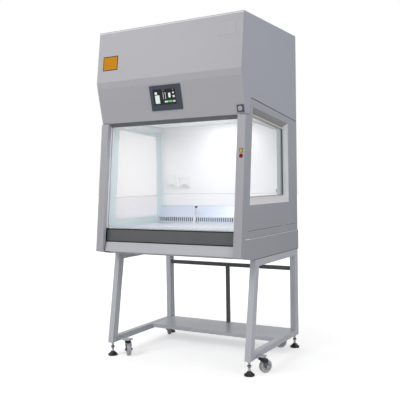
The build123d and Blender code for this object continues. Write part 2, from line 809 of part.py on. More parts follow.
def touch_bezel():
    mid_x = (BEZEL_X[0] + BEZEL_X[1]) / 2
    mid_z = (BEZEL_Z[0] + BEZEL_Z[1]) / 2
    width = BEZEL_X[1] - BEZEL_X[0]
    height = (BEZEL_Z[1] - BEZEL_Z[0]) * SLOPE_LEN / abs(SLOPE_DZ)
    low = (Align.CENTER, Align.CENTER, Align.MIN)
    frame = Box(width, height, BEZEL_T, align=low)
    frame = fillet(frame.edges().filter_by(Axis.Z), 3)
    frame = chamfer(frame.faces().sort_by(Axis.Z)[-1].edges(), 1.5)
    frame += Pos(0, 0, -HMI_DEEP) * Box(
        width - 2 * HMI_RIM, height - 2 * HMI_RIM - 4, HMI_DEEP, align=low
    )
    screen_x = (SCREEN_X[0] + SCREEN_X[1]) / 2 - mid_x
    screen_y = ((SCREEN_Z[0] + SCREEN_Z[1]) / 2 - mid_z) * SLOPE_LEN / abs(SLOPE_DZ)
    screen_w, screen_h = screen_size()
    frame -= Pos(screen_x, screen_y, BEZEL_T - 3) * Box(screen_w, screen_h, 3, align=low)
    return slope_frame(mid_x, mid_z) * frame


def screen_size():
    width = SCREEN_X[1] - SCREEN_X[0]
    height = (SCREEN_Z[1] - SCREEN_Z[0]) * SLOPE_LEN / abs(SLOPE_DZ)
    return width, height


def touch_screen():
    low = (Align.CENTER, Align.CENTER, Align.MIN)
    width, height = screen_size()
    mid_x = (SCREEN_X[0] + SCREEN_X[1]) / 2
    mid_z = (SCREEN_Z[0] + SCREEN_Z[1]) / 2
    pane = Box(width - 2 * GAP, height - 2 * GAP, 3 - SCREEN_SUNK, align=low)
    return slope_frame(mid_x, mid_z) * (Pos(0, 0, BEZEL_T - 3) * pane)


def key_plate():
    low = (Align.CENTER, Align.CENTER, Align.MIN)
    plate = Box(KEY_PLATE, KEY_PLATE, KEY_PLATE_T, align=low)
    plate = fillet(plate.edges().filter_by(Axis.Z), 2)
    plate -= Cylinder(KEY_R - 2 + GAP, 20)
    return slope_frame(*KEY_CENTRE) * plate


def key_barrel():
    """Lock barrel with its flanged head and the slot for a key."""
    low = (Align.CENTER, Align.CENTER, Align.MIN)
    head = Pos(0, 0, KEY_PLATE_T + GAP) * Cylinder(KEY_R, KEY_PROUD - GAP, align=low)
    head = chamfer(head.edges().filter_by(GeomType.CIRCLE).group_by(Axis.Z)[-1], 1.2)
    barrel = head + Pos(0, 0, -KEY_BODY_LEN) * Cylinder(
        KEY_R - 2, KEY_BODY_LEN + KEY_PLATE_T + 1, align=low
    )
    top = KEY_PLATE_T + KEY_PROUD
    barrel -= Pos(0, 0, top) * Box(2.4, 9, 8)
    return slope_frame(*KEY_CENTRE) * barrel


# Fittings in the chamber

def socket_boxes():
    boxes = []
    for x in SOCKET_X:
        z0 = SOCKET_Z - SOCKET_H / 2
        z1 = SOCKET_Z + SOCKET_H / 2
        y0 = BACK_WALL_Y - SOCKET_PROUD
        face = block(x - SOCKET_W / 2, x + SOCKET_W / 2, y0, BACK_WALL_Y, z0, z1)
        face = fillet(face.edges().filter_by(Axis.Y), 4)
        cup = block(
            x - SOCKET_W / 2 + 8, x + SOCKET_W / 2 - 8, BACK_WALL_Y - 1, BACK_WALL_Y + SOCKET_DEEP,
            z0 + 8, z1 - 8,
        )
        box = face + cup
        box -= rod(SOCKET_WELL_R, (x, y0 - 1, SOCKET_Z), (x, y0 + 18, SOCKET_Z))
        for side in (-1, 1):
            ear_x = x + side * (LID_SIZE / 2 + 3.5)
            box += block(
                ear_x - 2.5, ear_x + 2.5, y0 - LID_T - 1, y0 + 1, lid_pin_z() - 4, lid_pin_z() + 4
            )
            box -= rod(LID_PIN_R + RUN_CLEAR, (ear_x - 5, lid_pin_y(), lid_pin_z()),
                       (ear_x + 5, lid_pin_y(), lid_pin_z()))
        boxes.append(box)
    return group(boxes)


def lid_pin_y():
    return BACK_WALL_Y - SOCKET_PROUD - LID_T / 2 - 0.5


def lid_pin_z():
    return SOCKET_Z + LID_SIZE / 2 - 3


def socket_lid(x):
    """Spring lid over a socket, hung from a pin along its top edge."""
    y1 = BACK_WALL_Y - SOCKET_PROUD - 0.5
    half = LID_SIZE / 2
    z0 = SOCKET_Z - half
    lid = block(x - half, x + half, y1 - LID_T, y1, z0, lid_pin_z())
    lid += rod(LID_T / 2, (x - half, lid_pin_y(), lid_pin_z()), (x + half, lid_pin_y(), lid_pin_z()))
    lid += rod(LID_PIN_R, (x - half - 5.5, lid_pin_y(), lid_pin_z()),
               (x + half + 5.5, lid_pin_y(), lid_pin_z()))
    lip = block(x - 14, x + 14, y1 - LID_T - 3, y1 - LID_T, z0, z0 + 4)
    return lid + lip


def tap_frame():
    """Frame at the foot of the tap, with Z up along its leaning stem."""
    y = BACK_WALL_Y - BAFFLE_REACH - 17
    return Pos(TAP_X, y, WORKTOP_Z) * Rot(Y=TAP_LEAN_DEG)


def tap_body():
    low = (Align.CENTER, Align.CENTER, Align.MIN)
    y = BACK_WALL_Y - BAFFLE_REACH - 17
    flange = Pos(TAP_X, y, WORKTOP_Z) * Cylinder(14, 5, align=low)
    stem = tap_frame() * Pos(0, 0, 2) * Cylinder(TAP_STEM_R, TAP_STEM_LEN - 2, align=low)
    barrel = tap_frame() * Pos(0, 0, 2) * Cylinder(TAP_BODY_R, TAP_BODY_LEN, align=low)
    pin = tap_frame() * Pos(0, 0, TAP_STEM_LEN - 1) * Cylinder(3, 11, align=low)
    return flange + barrel + stem + pin


def tap_handle():
    """Black knob turned on the head of the tap."""
    low = (Align.CENTER, Align.CENTER, Align.MIN)
    knob = Cylinder(TAP_KNOB_R, TAP_KNOB_H, align=low)
    knob = chamfer(knob.edges().filter_by(GeomType.CIRCLE).group_by(Axis.Z)[-1], 3)
    knob += Pos(0, TAP_KNOB_R, TAP_KNOB_H / 2) * Box(6, 14, 9)
    knob -= Cylinder(3 + RUN_CLEAR, 11, align=low)
    return tap_frame() * Pos(0, 0, TAP_STEM_LEN + GAP) * knob


def service_port():
    ring = rod(PORT_R, (LINER_X - 9, PORT_Y, PORT_Z), (LINER_X, PORT_Y, PORT_Z))
    return ring - rod(PORT_R - 5, (LINER_X - 12, PORT_Y, PORT_Z), (LINER_X - 4, PORT_Y, PORT_Z))


# Sash and its drive

def lean_block(x0, x1, depth0, depth1, z_low, length):
    """Bar along the leaning front, its lower end at a height on its front face."""
    at = lean_frame(depth0, z_low)
    low = (Align.CENTER, Align.MIN, Align.MIN)
    return at * Pos((x0 + x1) / 2, 0, 0) * Box(abs(x1 - x0), depth1 - depth0, length, align=low)


def sash_length():
    return (SASH_HEAD_Z - SASH_FOOT_Z) / COS


def sash_glass():
    return lean_block(-SASH_HALF_W, SASH_HALF_W, SASH_DEPTH, SASH_DEPTH + SASH_T, SASH_FOOT_Z, sash_length())


def sash_seal():
    """Rubber edge along the foot of the pane."""
    x = GUIDE_X - 2
    low = (Align.CENTER, Align.MIN, Align.MIN)
    at = lean_frame(SASH_DEPTH - 2, SASH_FOOT_Z)
    rubber = at * Pos(0, 0, -SEAL_H + 3) * Box(2 * x, SASH_T + 4, SEAL_H + 3, align=low)
    return rubber - lean_block(-x - 1, x + 1, SASH_DEPTH, SASH_DEPTH + SASH_T, SASH_FOOT_Z, 40)


def sash_lift_bar():
    """Bar across the head of the pane, clamped to the two belts at its ends."""
    spare = (BAR_T - SASH_T) / 2
    at = lean_frame(SASH_DEPTH - spare, SASH_HEAD_Z - BAR_GRIP)
    low = (Align.CENTER, Align.MIN, Align.MIN)
    bar = at * Box(2 * BAR_HALF_W, BAR_T, BAR_H + BAR_GRIP, align=low)
    bar -= lean_block(
        -SASH_HALF_W, SASH_HALF_W, SASH_DEPTH, SASH_DEPTH + SASH_T, SASH_HEAD_Z - 40, 40 / COS
    )
    play = 0.5
    for side in (-1, 1):
        x = side * BELT_X
        half = BELT_W / 2 + play
        bar -= lean_block(
            x - half, x + half, belt_depth() - play, belt_depth() + BELT_T + play, SASH_HEAD_Z - 40, 90
        )
    return bar


def belt_depth():
    """Depth of the front run of the belts, in the middle of the pane."""
    return SASH_DEPTH + SASH_T / 2 - BELT_T / 2


def drive_depth():
    """Depth of the pulleys' axis, behind the front run."""
    return belt_depth() + BELT_T + GAP + PULLEY_R


def sash_guides():
    """Two grooved channels that hold the edges of the pane."""
    z0 = WORKTOP_Z + GAP + (GUIDE_REAR - GUIDE_FRONT) * SIN
    z1 = SASH_HEAD_Z - BAR_GRIP - 4
    length = (z1 - z0) / COS
    rail = lean_block(GUIDE_X, GUIDE_X + GUIDE_W, GUIDE_FRONT, GUIDE_REAR, z0, length)
    rail -= lean_block(
        GUIDE_X - 1, GUIDE_X + GROOVE_DEEP, SASH_DEPTH - GROOVE_PLAY, SASH_DEPTH + SASH_T + GROOVE_PLAY,
        z0 - 20, length + 60,
    )
    return group([rail, mirrored(rail)])


def pulley(x, z):
    """Toothed belt pulley with two flanges, on the belt's line."""
    _, y, _ = lean(0, drive_depth(), z)
    wheel = rod(PULLEY_R - 1.2, (x - PULLEY_W / 2, y, z), (x + PULLEY_W / 2, y, z))
    tooth = Box(PULLEY_W, 2.2, 2.6)
    for i in range(PULLEY_TEETH):
        turn = Rot(X=i * 360 / PULLEY_TEETH)
        wheel += Pos(x, y, z) * turn * Pos(0, 0, PULLEY_R - 1.3) * tooth
    return wheel


def drive_shaft():
    """Cross shaft with a pulley at each end."""
    _, y, z = lean(0, drive_depth(), DRIVE_Z)
    end = HALF_W - SHEET - 6
    shaft = rod(SHAFT_R, (-end, y, z), (end, y, z))
    for side in (-1, 1):
        shaft += pulley(side * BELT_X, DRIVE_Z)
    return shaft


def idler_pulleys():
    """Free pulleys at the lower end of each belt, each with its hub."""
    wheels = []
    _, y, z = lean(0, drive_depth(), IDLER_Z)
    for side in (-1, 1):
        wheel = pulley(side * BELT_X, IDLER_Z)
        x = side * BELT_X
        wheel -= rod(SHAFT_R + RUN_CLEAR, (x - 20, y, z), (x + 20, y, z))
        wheels.append(wheel)
    return group(wheels)


def drive_belts():
    """Closed belt on each side: two straight runs and two half turns."""
    belts = []
    inner = PULLEY_R + GAP
    outer = inner + BELT_T
    length = (DRIVE_Z - IDLER_Z) / COS
    for side in (-1, 1):
        frame = lean_frame(drive_depth(), IDLER_Z) * Pos(side * BELT_X, 0, 0) * Rot(Y=90)
        loop = Pos(-length / 2, 0, 0) * SlotCenterToCenter(length, 2 * outer)
        hole = Pos(-length / 2, 0, 0) * SlotCenterToCenter(length, 2 * inner)
        belts.append(frame * extrude(loop - hole, BELT_W / 2, both=True))
    return group(belts)


def shaft_bearings():
    """Bearing blocks for the cross shaft and stub axles for the idlers, on the side walls."""
    pieces = []
    for side in (-1, 1):
        wall = side * (HALF_W - SHEET)
        near = side * (HALF_W - SHEET - 12)
        _, y, z = lean(0, drive_depth(), DRIVE_Z)
        pad = block(min(wall, near), max(wall, near), y - 18, y + 18, z - 18, z + 18)
        pad -= rod(SHAFT_R + RUN_CLEAR, (near - side * 5, y, z), (wall - side * 4, y, z))
        pieces.append(pad)
        _, y, z = lean(0, drive_depth(), IDLER_Z)
        stub_end = side * (BELT_X - PULLEY_W / 2 - 3)
        stub = rod(SHAFT_R, (stub_end, y, z), (wall, y, z))
        boss = rod(11, (side * (BELT_X + PULLEY_W / 2 + 2), y, z), (wall, y, z))
        nut = rod(9, (stub_end - side * 3, y, z), (side * (BELT_X - PULLEY_W / 2 - 1), y, z))
        pieces.append(stub + boss + nut)
    return group(pieces)


def sash_gearmotor():
    """Worm gearbox on the cross shaft, with its motor, hung from the top frame."""
    _, y, z = lean(0, drive_depth(), DRIVE_Z)
    box = block(250, 310, y - 22, y + 34, z - 26, z + 24)
    box -= rod(SHAFT_R + RUN_CLEAR, (240, y, z), (320, y, z))
    motor = rod(20, (278, y + 12, z - 24), (278, y + 12, z - 116))
    hanger = block(255, 305, y + 8, y + 32, z + 23, TOP_Z)
    return box + motor + hanger


# Stand

def front_leg_y(z):
    return FRONT_LEG_Y + (z - RAIL_LOW[0]) * math.tan(math.radians(FRONT_LEG_LEAN_DEG))


def rounded_bar(points, x0, x1):
    """Tube drawn as its outer form, with its long edges rounded."""
    bar = side_prism(points, x0, x1)
    ends = [p for p in zip(points, points[1:] + points[:1])]
    longest = max(math.hypot(b[0] - a[0], b[1] - a[1]) for a, b in ends)
    return fillet([e for e in bar.edges() if e.length > longest * 0.9], TUBE_R)


def bracket_plate(name):
    """Plate that carries a castor beside the rail."""
    x, y, _ = CASTORS[name]
    inner = HALF_W - TUBE_X
    reach = HEAD_PLATE / 2 + 1
    z = castor_plate_z()
    if x > HALF_W:
        x0, x1 = HALF_W - 0.5, x + reach
    elif x > 0:
        x0, x1 = x - reach, inner + 0.5
    else:
        x0, x1 = -inner - 0.5, x + reach
    return block(x0, x1, y - BRACKET_W / 2, y + BRACKET_W / 2, z, z + BRACKET_T)


def castor_plate_z():
    """Underside of the plates that carry the castors."""
    return WHEEL_Z + WHEEL_R + CROWN_GAP + CROWN_T + GAP + RACE_H + HEAD_PLATE_T


def stand_side(side):
    """Welded side of the stand: two legs, two rails and the castor plates."""
    x0 = HALF_W - TUBE_X
    x1 = HALF_W
    low, low_top = RAIL_LOW
    high = BASE_Z - RAIL_TOP_H
    front = rounded_bar(
        [
            (front_leg_y(low), low),
            (front_leg_y(BASE_Z), BASE_Z),
            (front_leg_y(BASE_Z) + TUBE_Y, BASE_Z),
            (front_leg_y(low) + TUBE_Y, low),
        ],
        x0, x1,
    )
    rear = rounded_bar(
        [
            (REAR_LEG_Y, low),
            (REAR_LEG_Y, BASE_Z),
            (REAR_LEG_Y + TUBE_Y, BASE_Z),
            (REAR_LEG_Y + TUBE_Y, low),
        ],
        x0, x1,
    )
    top = rounded_bar(
        [
            (front_leg_y(BASE_Z) + TUBE_Y / 2, high),
            (front_leg_y(BASE_Z) + TUBE_Y / 2, BASE_Z),
            (REAR_LEG_Y + TUBE_Y / 2, BASE_Z),
            (REAR_LEG_Y + TUBE_Y / 2, high),
        ],
        x0, x1,
    )
    bottom = rounded_bar(
        [
            (FOOT_FRONT_Y, low),
            (FOOT_FRONT_Y, low_top),
            (FOOT_REAR_Y, low_top),
            (FOOT_REAR_Y, low),
        ],
        x0, x1,
    )
    frame = front + rear + top + bottom
    for y in (FOOT_FRONT_Y, FOOT_REAR_Y):
        frame -= rod(FOOT_STEM_R + FOOT_BORE_CLEAR, (LEG_X, y, low - 1), (LEG_X, y, low + FOOT_STEM_IN + 2))
    if side < 0:
        frame = mirrored(frame)
    for name in CASTORS:
        if CASTORS[name][0] * side > 0:
            frame += bracket_plate(name)
    return frame


def stand_rear_frame():
    inner = HALF_W - TUBE_X - GAP
    beam = block(-inner, inner, BEAM_Y[0], BEAM_Y[1], BEAM_Z[0], BEAM_Z[1])
    beam = fillet(beam.edges().filter_by(Axis.X), TUBE_R)
    y_mid = (BEAM_Y[0] + BEAM_Y[1]) / 2
    half = POST_W / 2
    post = block(POST_X - half, POST_X + half, y_mid - half, y_mid + half, SHELF_Z, BEAM_Z[0] + 5)
    return beam + post


def stand_shelf():
    """Folded shelf between the lower rails."""
    x = HALF_W - TUBE_X - GAP
    top = block(-x, x, SHELF_Y[0], SHELF_Y[1], SHELF_Z - SHEET, SHELF_Z)
    lip_front = block(-x, x, SHELF_Y[0], SHELF_Y[0] + SHEET, SHELF_Z - SHELF_LIP, SHELF_Z)
    lip_rear = block(-x, x, SHELF_Y[1] - SHEET, SHELF_Y[1], SHELF_Z - SHELF_LIP, SHELF_Z)
    return top + lip_front + lip_rear


# Feet and castors

def foot(x, y):
    """Levelling foot: pad, domed neck, collar and stem, turned as one."""
    profile = Polyline(
        (0, 0), (FOOT_R, 0), (FOOT_R, FOOT_PAD_H), (FOOT_R - 6, FOOT_PAD_H + 4),
        (FOOT_COLLAR_R + 3, FOOT_DOME_H), (FOOT_STEM_R + 1, FOOT_DOME_H + 8),
        (FOOT_STEM_R + 1, FOOT_COLLAR_Z[0]), (FOOT_COLLAR_R, FOOT_COLLAR_Z[0] + 3),
        (FOOT_COLLAR_R, FOOT_COLLAR_Z[1] - 2), (FOOT_STEM_R + 2, FOOT_COLLAR_Z[1]),
        (FOOT_STEM_R, FOOT_COLLAR_Z[1]), (FOOT_STEM_R, RAIL_LOW[0] + FOOT_STEM_IN),
        (0, RAIL_LOW[0] + FOOT_STEM_IN), close=True,
    )
    face = Plane.XZ * make_face(profile)
    return Pos(x, y, 0) * revolve(face, Axis.Z)


def lock_nut(x, y):
    low = (Align.CENTER, Align.CENTER, Align.MIN)
    nut = extrude(RegularPolygon(FOOT_NUT_R, 6), FOOT_NUT_H)
    nut -= Cylinder(FOOT_STEM_R + FOOT_BORE_CLEAR, 3 * FOOT_NUT_H, align=low)
    return Pos(x, y, RAIL_LOW[0] - FOOT_NUT_H) * nut


def lock_nuts():
    return group([lock_nut(x, y) for x in (-LEG_X, LEG_X) for y in (FOOT_FRONT_Y, FOOT_REAR_Y)])


def castor_head(name):
    """Fixed half of a castor: plate, race and king pin."""
    low = (Align.CENTER, Align.CENTER, Align.MIN)
    x, y, _ = CASTORS[name]
    z1 = castor_plate_z()
    plate_z = z1 - HEAD_PLATE_T
    race_z = plate_z - RACE_H
    pin_z = WHEEL_Z + WHEEL_R + CROWN_GAP - 3
    head = Pos(x, y, plate_z) * Box(HEAD_PLATE, HEAD_PLATE, HEAD_PLATE_T, align=low)
    head += Pos(x, y, race_z) * Cylinder(RACE_R, RACE_H, align=low)
    head += Pos(x, y, pin_z) * Cylinder(PIN_R, race_z - pin_z + 1, align=low)
    head += Pos(x, y, pin_z - 1) * Cylinder(PIN_R + 3, 3 - GAP, align=low)
    return head


def castor_heads():
    return group([castor_head(name) for name in CASTORS])


def castor_frame(name):
    x, y, heading = CASTORS[name]
    return Pos(x, y, 0) * Rot(Z=heading)


def castor_fork(name):
    """Pressed fork: crown, two cheeks down to the axle, and the axle bolt."""
    low = (Align.CENTER, Align.CENTER, Align.MIN)
    crown_z = WHEEL_Z + WHEEL_R + CROWN_GAP
    half = FORK_IN + FORK_T
    crown = Pos(0, 0, crown_z) * Cylinder(RACE_R + 4, CROWN_T, align=low)
    crown += Pos(CASTOR_TRAIL / 2, 0, crown_z) * Box(CASTOR_TRAIL + 14, 2 * half, CROWN_T, align=low)
    fork = crown
    for side in (-1, 1):
        y0 = side * FORK_IN
        y1 = side * half
        cheek = Plane.XZ * make_face(
            Polyline(
                (-9, crown_z + CROWN_T), (CASTOR_TRAIL + 7, crown_z + CROWN_T),
                (CASTOR_TRAIL + 10, WHEEL_Z), (CASTOR_TRAIL + 7, WHEEL_Z - 8),
                (CASTOR_TRAIL - 7, WHEEL_Z - 8), (CASTOR_TRAIL - 10, WHEEL_Z), close=True,
            )
        )
        cheek = extrude(Pos(0, min(y0, y1), 0) * cheek, -FORK_T)
        fork += cheek
    fork += rod(AXLE_R, (CASTOR_TRAIL, -half - 4, WHEEL_Z), (CASTOR_TRAIL, half + 4, WHEEL_Z))
    for side in (-1, 1):
        fork += rod(7, (CASTOR_TRAIL, side * (half - 1), WHEEL_Z), (CASTOR_TRAIL, side * (half + 4), WHEEL_Z))
    fork -= Pos(0, 0, crown_z) * Cylinder(PIN_R + 0.2, 30)
    return castor_frame(name) * fork


def castor_wheel(name):
    """Wheel with a rounded tyre, dished sides and a hub on the axle."""
    rim = WHEEL_R - 9
    half = WHEEL_W / 2
    hub = WHEEL_HUB_W / 2
    bore = AXLE_R + RUN_CLEAR
    profile = make_face(
        Polyline(
            (bore, -hub), (11, -hub), (12, -half + 6), (rim - 2, -half + 6), (rim, -half),
            (WHEEL_R - 4, -half), (WHEEL_R, -half + 5), (WHEEL_R, half - 5), (WHEEL_R - 4, half),
            (rim, half), (rim - 2, half - 6), (12, half - 6), (11, hub), (bore, hub), close=True,
        )
    )
    wheel = revolve(profile, Axis.Y)
    return castor_frame(name) * Pos(CASTOR_TRAIL, 0, WHEEL_Z) * wheel


# Electrical inlet

def mains_inlet():
    """Mains connector block on the back cover."""
    x = 330
    z = 830
    face = block(x - 30, x + 30, DEPTH, DEPTH + 10, z - 20, z + 20)
    face = fillet(face.edges().filter_by(Axis.Y), 4)
    return face - block(x - 14, x + 14, DEPTH + 2, DEPTH + 11, z - 10, z + 10)


def build():
    os.makedirs("parts", exist_ok=True)
    frame = side_frame()
    liner = side_liner()
    pane = side_window()
    save("hood_shell", hood_shell())
    save("top_cover", top_cover())
    save("back_cover", back_cover())
    save("side_frame_right", frame)
    save("side_frame_left", mirrored(frame))
    save("side_liners", group([liner, mirrored(liner)]))
    save("side_windows", group([pane, mirrored(pane)]))
    save("back_wall", back_wall())
    save("rear_baffle", rear_baffle())
    save("worktop", worktop())
    save("front_grille", front_grille())
    save("ceiling_diffuser", ceiling_diffuser())
    save("front_apron", front_apron())
    save("lower_front_panel", lower_front_panel())
    save("base_pan", base_pan())
    save("downflow_filter", downflow_filter())
    save("blower_plenum", blower_plenum())
    save("blower_wheel", blower_wheel())
    save("blower_motor", blower_motor())
    save("exhaust_filter", exhaust_filter())
    save("exhaust_guard", exhaust_guard())
    save("work_lamp", work_lamp())
    save("touch_bezel", touch_bezel())
    save("touch_screen", touch_screen())
    save("key_plate", key_plate())
    save("key_barrel", key_barrel())
    save("socket_boxes", socket_boxes())
    save("socket_lid_left", socket_lid(SOCKET_X[0]))
    save("socket_lid_right", socket_lid(SOCKET_X[1]))
    save("tap_body", tap_body())
    save("tap_handle", tap_handle())
    save("service_port", service_port())
    save("sash_glass", sash_glass())
    save("sash_seal", sash_seal())
    save("sash_lift_bar", sash_lift_bar())
    save("sash_guides", sash_guides())
    save("drive_shaft", drive_shaft())
    save("idler_pulleys", idler_pulleys())
    save("drive_belts", drive_belts())
    save("shaft_bearings", shaft_bearings())
    save("sash_gearmotor", sash_gearmotor())
    save("stand_side_left", stand_side(-1))
    save("stand_side_right", stand_side(1))
    save("stand_rear_frame", stand_rear_frame())
    save("stand_shelf", stand_shelf())
    save("castor_heads", castor_heads())
    save("lock_nuts", lock_nuts())
    save("mains_inlet", mains_inlet())
    for name in CASTORS:
        save(f"castor_fork_{name}", castor_fork(name))
        save(f"castor_wheel_{name}", castor_wheel(name))
        x = LEG_X if name.endswith("right") else -LEG_X
        y = FOOT_FRONT_Y if name.startswith("front") else FOOT_REAR_Y
        save(f"foot_{name}", foot(x, y))


build()
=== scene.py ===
import json
import math

import bmesh
import bpy
from mathutils import Matrix, Vector


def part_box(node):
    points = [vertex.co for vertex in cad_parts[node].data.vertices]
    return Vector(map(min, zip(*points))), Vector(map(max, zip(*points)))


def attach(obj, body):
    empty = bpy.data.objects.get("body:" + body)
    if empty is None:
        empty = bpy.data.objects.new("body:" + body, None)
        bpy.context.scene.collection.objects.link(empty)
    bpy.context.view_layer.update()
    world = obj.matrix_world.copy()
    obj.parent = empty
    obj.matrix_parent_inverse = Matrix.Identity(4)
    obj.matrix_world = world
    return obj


bl_info = {
    "name": "Safety Cabinet Finishes",
    "version": (1, 0, 0),
    "blender": (4, 5, 0),
    "location": "3D Viewport > Sidebar > Cabinet",
    "description": "Finishes and small fittings of a laboratory safety cabinet on its stand",
    "category": "Object",
}

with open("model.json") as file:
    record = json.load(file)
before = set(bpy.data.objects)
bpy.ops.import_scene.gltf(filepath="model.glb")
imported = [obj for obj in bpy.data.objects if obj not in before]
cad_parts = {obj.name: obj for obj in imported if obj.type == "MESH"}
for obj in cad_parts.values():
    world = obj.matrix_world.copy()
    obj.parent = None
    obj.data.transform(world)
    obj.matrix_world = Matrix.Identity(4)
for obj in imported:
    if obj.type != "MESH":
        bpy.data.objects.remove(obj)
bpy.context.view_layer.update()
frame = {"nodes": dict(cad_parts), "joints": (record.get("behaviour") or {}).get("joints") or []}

# Sizes in millimetres, laid out as the cabinet is: X from its centre line, Y from the
# top front edge of the hood, Z from the floor.
TOP_LOW, TOP_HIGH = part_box("top_cover")
CENTRE_X = (TOP_LOW.x + TOP_HIGH.x) / 2
FRONT_Y = TOP_LOW.y
# Lean of the pillars' front from upright, and the height at which its plane passes Y 0
LEAN = math.radians(6.08)
LEAN_Z = 1452.0
# Ends of the hood's slopes and of the seam under its side, in Y and Z
UPPER_SLOPE = ((0.0, 2026.0), (-43.2, 1714.7))
LOWER_SLOPE = ((-37.8, 1675.3), (9.1, 1466.0))
SEAM_FRONT = (75.5, 1561.0)
SEAM_REAR = (757.0, 1478.0)
BACK_Y = 757.0
# Touch screen, and how far its face stands off the lower slope
SCREEN_X = (-89.0, 66.0)
SCREEN_Z = (1551.0, 1641.0)
SCREEN_FACE = 5.0
# Distance from the centre line past which a face belongs to the outer side
OUTER_X = 499.0
CORNERS = ("front_left", "front_right", "rear_left", "rear_right")

# Camera solved from the straight edges, and plain studio lamps: place, size, power, aim
CAMERA_PLACE = (2022.66, -3159.07, 1094.72)
CAMERA_TURN = (29.957, -1.640, -0.917)
CAMERA_LENS = 57.12
LAMPS = {
    "key": ((-2.6, -4.2, 3.9), 2.6, 112.0, (0, -0.2, 1.1)),
    "fill": ((4.2, -2.2, 2.6), 2.4, 52.0, (0, 0, 1.0)),
    "top": ((-0.4, 0.6, 4.6), 2.6, 40.0, (0, 0, 1.0)),
}
WORLD_LEVEL = 0.34

WHITE = (1.0, 1.0, 1.0, 1.0)
BLACK = (0.0, 0.0, 0.0, 1.0)
# Painted shade: near black for faces that show only through slots and holes, where shade falls.
PAINTED_VOID_SHADE = (0.02, 0.02, 0.022)
SEAM_SHADE = (0.06, 0.06, 0.07)


def at(x, y, z):
    """Point of the cabinet's layout, in metres."""
    return Vector((CENTRE_X + x / 1000, FRONT_Y + y / 1000, z / 1000))


def front_y(z, depth=0.0):
    """Y of the leaning front plane at a height, or of a plane behind it."""
    return (z - LEAN_Z) * math.tan(LEAN) + depth


def face_matrix(origin, across, up):
    """Matrix of a face: X across it, Y up it, Z out of it."""
    out = across.cross(up)
    turn = Matrix((across, up, out)).transposed().to_4x4()
    return Matrix.Translation(origin) @ turn


def slope_matrix(ends, x, z):
    """Face of a slope given by its two ends in Y and Z, at one point on it."""
    (y0, z0), (y1, z1) = ends
    y = y0 + (y1 - y0) * (z - z0) / (z1 - z0)
    high, low = (ends if z0 > z1 else ends[::-1])
    up = Vector((0, high[0] - low[0], high[1] - low[1])).normalized()
    return face_matrix(at(x, y, z), Vector((1, 0, 0)), up)


def pillar_matrix(x, z):
    """Leaning front face of the pillars."""
    up = Vector((0, math.sin(LEAN), math.cos(LEAN)))
    return face_matrix(at(x, front_y(z), z), Vector((1, 0, 0)), up)


# Materials

class Tone:
    """One output of a node. Arithmetic on it adds Math nodes."""

    def __init__(self, tree, output):
        self.tree = tree
        self.output = output

    def node(self, kind, settings=None, inputs=None, output=0):
        """Add a node, set it up, feed its sockets, and give one of its outputs."""
        made = self.tree.nodes.new(kind)
        for name, value in (settings or {}).items():
            setattr(made, name, value)
        for key, value in (inputs or {}).items():
            socket = made.inputs[key]
            if isinstance(value, Tone):
                self.tree.links.new(value.output, socket)
            else:
                socket.default_value = value
        return Tone(self.tree, made.outputs[output]) if len(made.outputs) else None

    def math(self, operation, *terms):
        return self.node("ShaderNodeMath", {"operation": operation}, dict(enumerate(terms)))

    def mix(self, factor, first, second):
        """Blend of two colours."""
        return self.node("ShaderNodeMix", {"data_type": "RGBA"}, {0: factor, 6: first, 7: second}, 2)

    def __add__(self, other):
        return self.math("ADD", self, other)

    def __sub__(self, other):
        return self.math("SUBTRACT", self, other)

    def __rsub__(self, other):
        return self.math("SUBTRACT", other, self)

    def __mul__(self, other):
        return self.math("MULTIPLY", self, other)

    def __gt__(self, other):
        return self.math("GREATER_THAN", self, other)

    def __lt__(self, other):
        return self.math("LESS_THAN", self, other)

    def __abs__(self):
        return self.math("ABSOLUTE", self)


def rgba(colour, share=1.0):
    """Colour for a socket, made darker or lighter by a share."""
    return (colour[0] * share, colour[1] * share, colour[2] * share, 1.0)


def new_finish(name):
    """Empty material, and the place on the object that its patterns read."""
    finish = bpy.data.materials.new(name)
    finish.use_nodes = True
    tree = finish.node_tree
    tree.nodes.clear()
    place = tree.nodes.new("ShaderNodeTexCoord")
    return finish, Tone(tree, place.outputs["Object"])


def layout_axes(place):
    """Millimetres from the cabinet's centre line, from its front edge, and from the floor."""
    axes = [place.node("ShaderNodeSeparateXYZ", {}, {0: place}, i) for i in range(3)]
    return (axes[0] - CENTRE_X) * 1000, (axes[1] - FRONT_Y) * 1000, axes[2] * 1000


def close_finish(place, **sockets):
    """Shader and output of a finish, with the sockets named as arguments."""
    inputs = {name.replace("_", " "): value for name, value in sockets.items()}
    shader = place.node("ShaderNodeBsdfPrincipled", {}, inputs)
    place.node("ShaderNodeOutputMaterial", {}, {"Surface": shader})


def with_areas(place, shade, areas):
    """Lay other shades over a shade, each where its mask of the layout's axes is 1."""
    if areas:
        for mask, other in areas(*layout_axes(place)):
            shade = place.mix(mask, shade, rgba(other))
    return shade


def noise(place, scale, detail=2.0, stretch=None):
    """Noise on the object, drawn out along an axis where a stretch is given."""
    vector = place
    if stretch:
        vector = place.node("ShaderNodeMapping", {}, {"Vector": place, "Scale": stretch})
    return place.node("ShaderNodeTexNoise", {}, {"Vector": vector, "Scale": scale, "Detail": detail})


def bumped(place, height, strength, distance):
    """Normal bent by a height."""
    return place.node(
        "ShaderNodeBump", {}, {"Strength": strength, "Distance": distance, "Height": height}
    )


def powder_coat(name, colour, areas=None, gloss=0.42):
    """Satin powder coat: orange peel, faint clouding, and areas of another shade, many of them
    painted shade and highlights.
    """
    finish, place = new_finish(name)
    clouds = noise(place, 2.2, 3.0)
    shade = place.mix(clouds, rgba(colour, 0.96), rgba(colour, 1.04))
    shade = with_areas(place, shade, areas)
    specks = noise(place, 420.0)
    close_finish(
        place, Base_Color=shade, Roughness=clouds * 0.10 + (gloss - 0.05),
        Normal=bumped(place, specks, 0.10, 0.0003), Specular_IOR_Level=0.4,
    )
    return finish


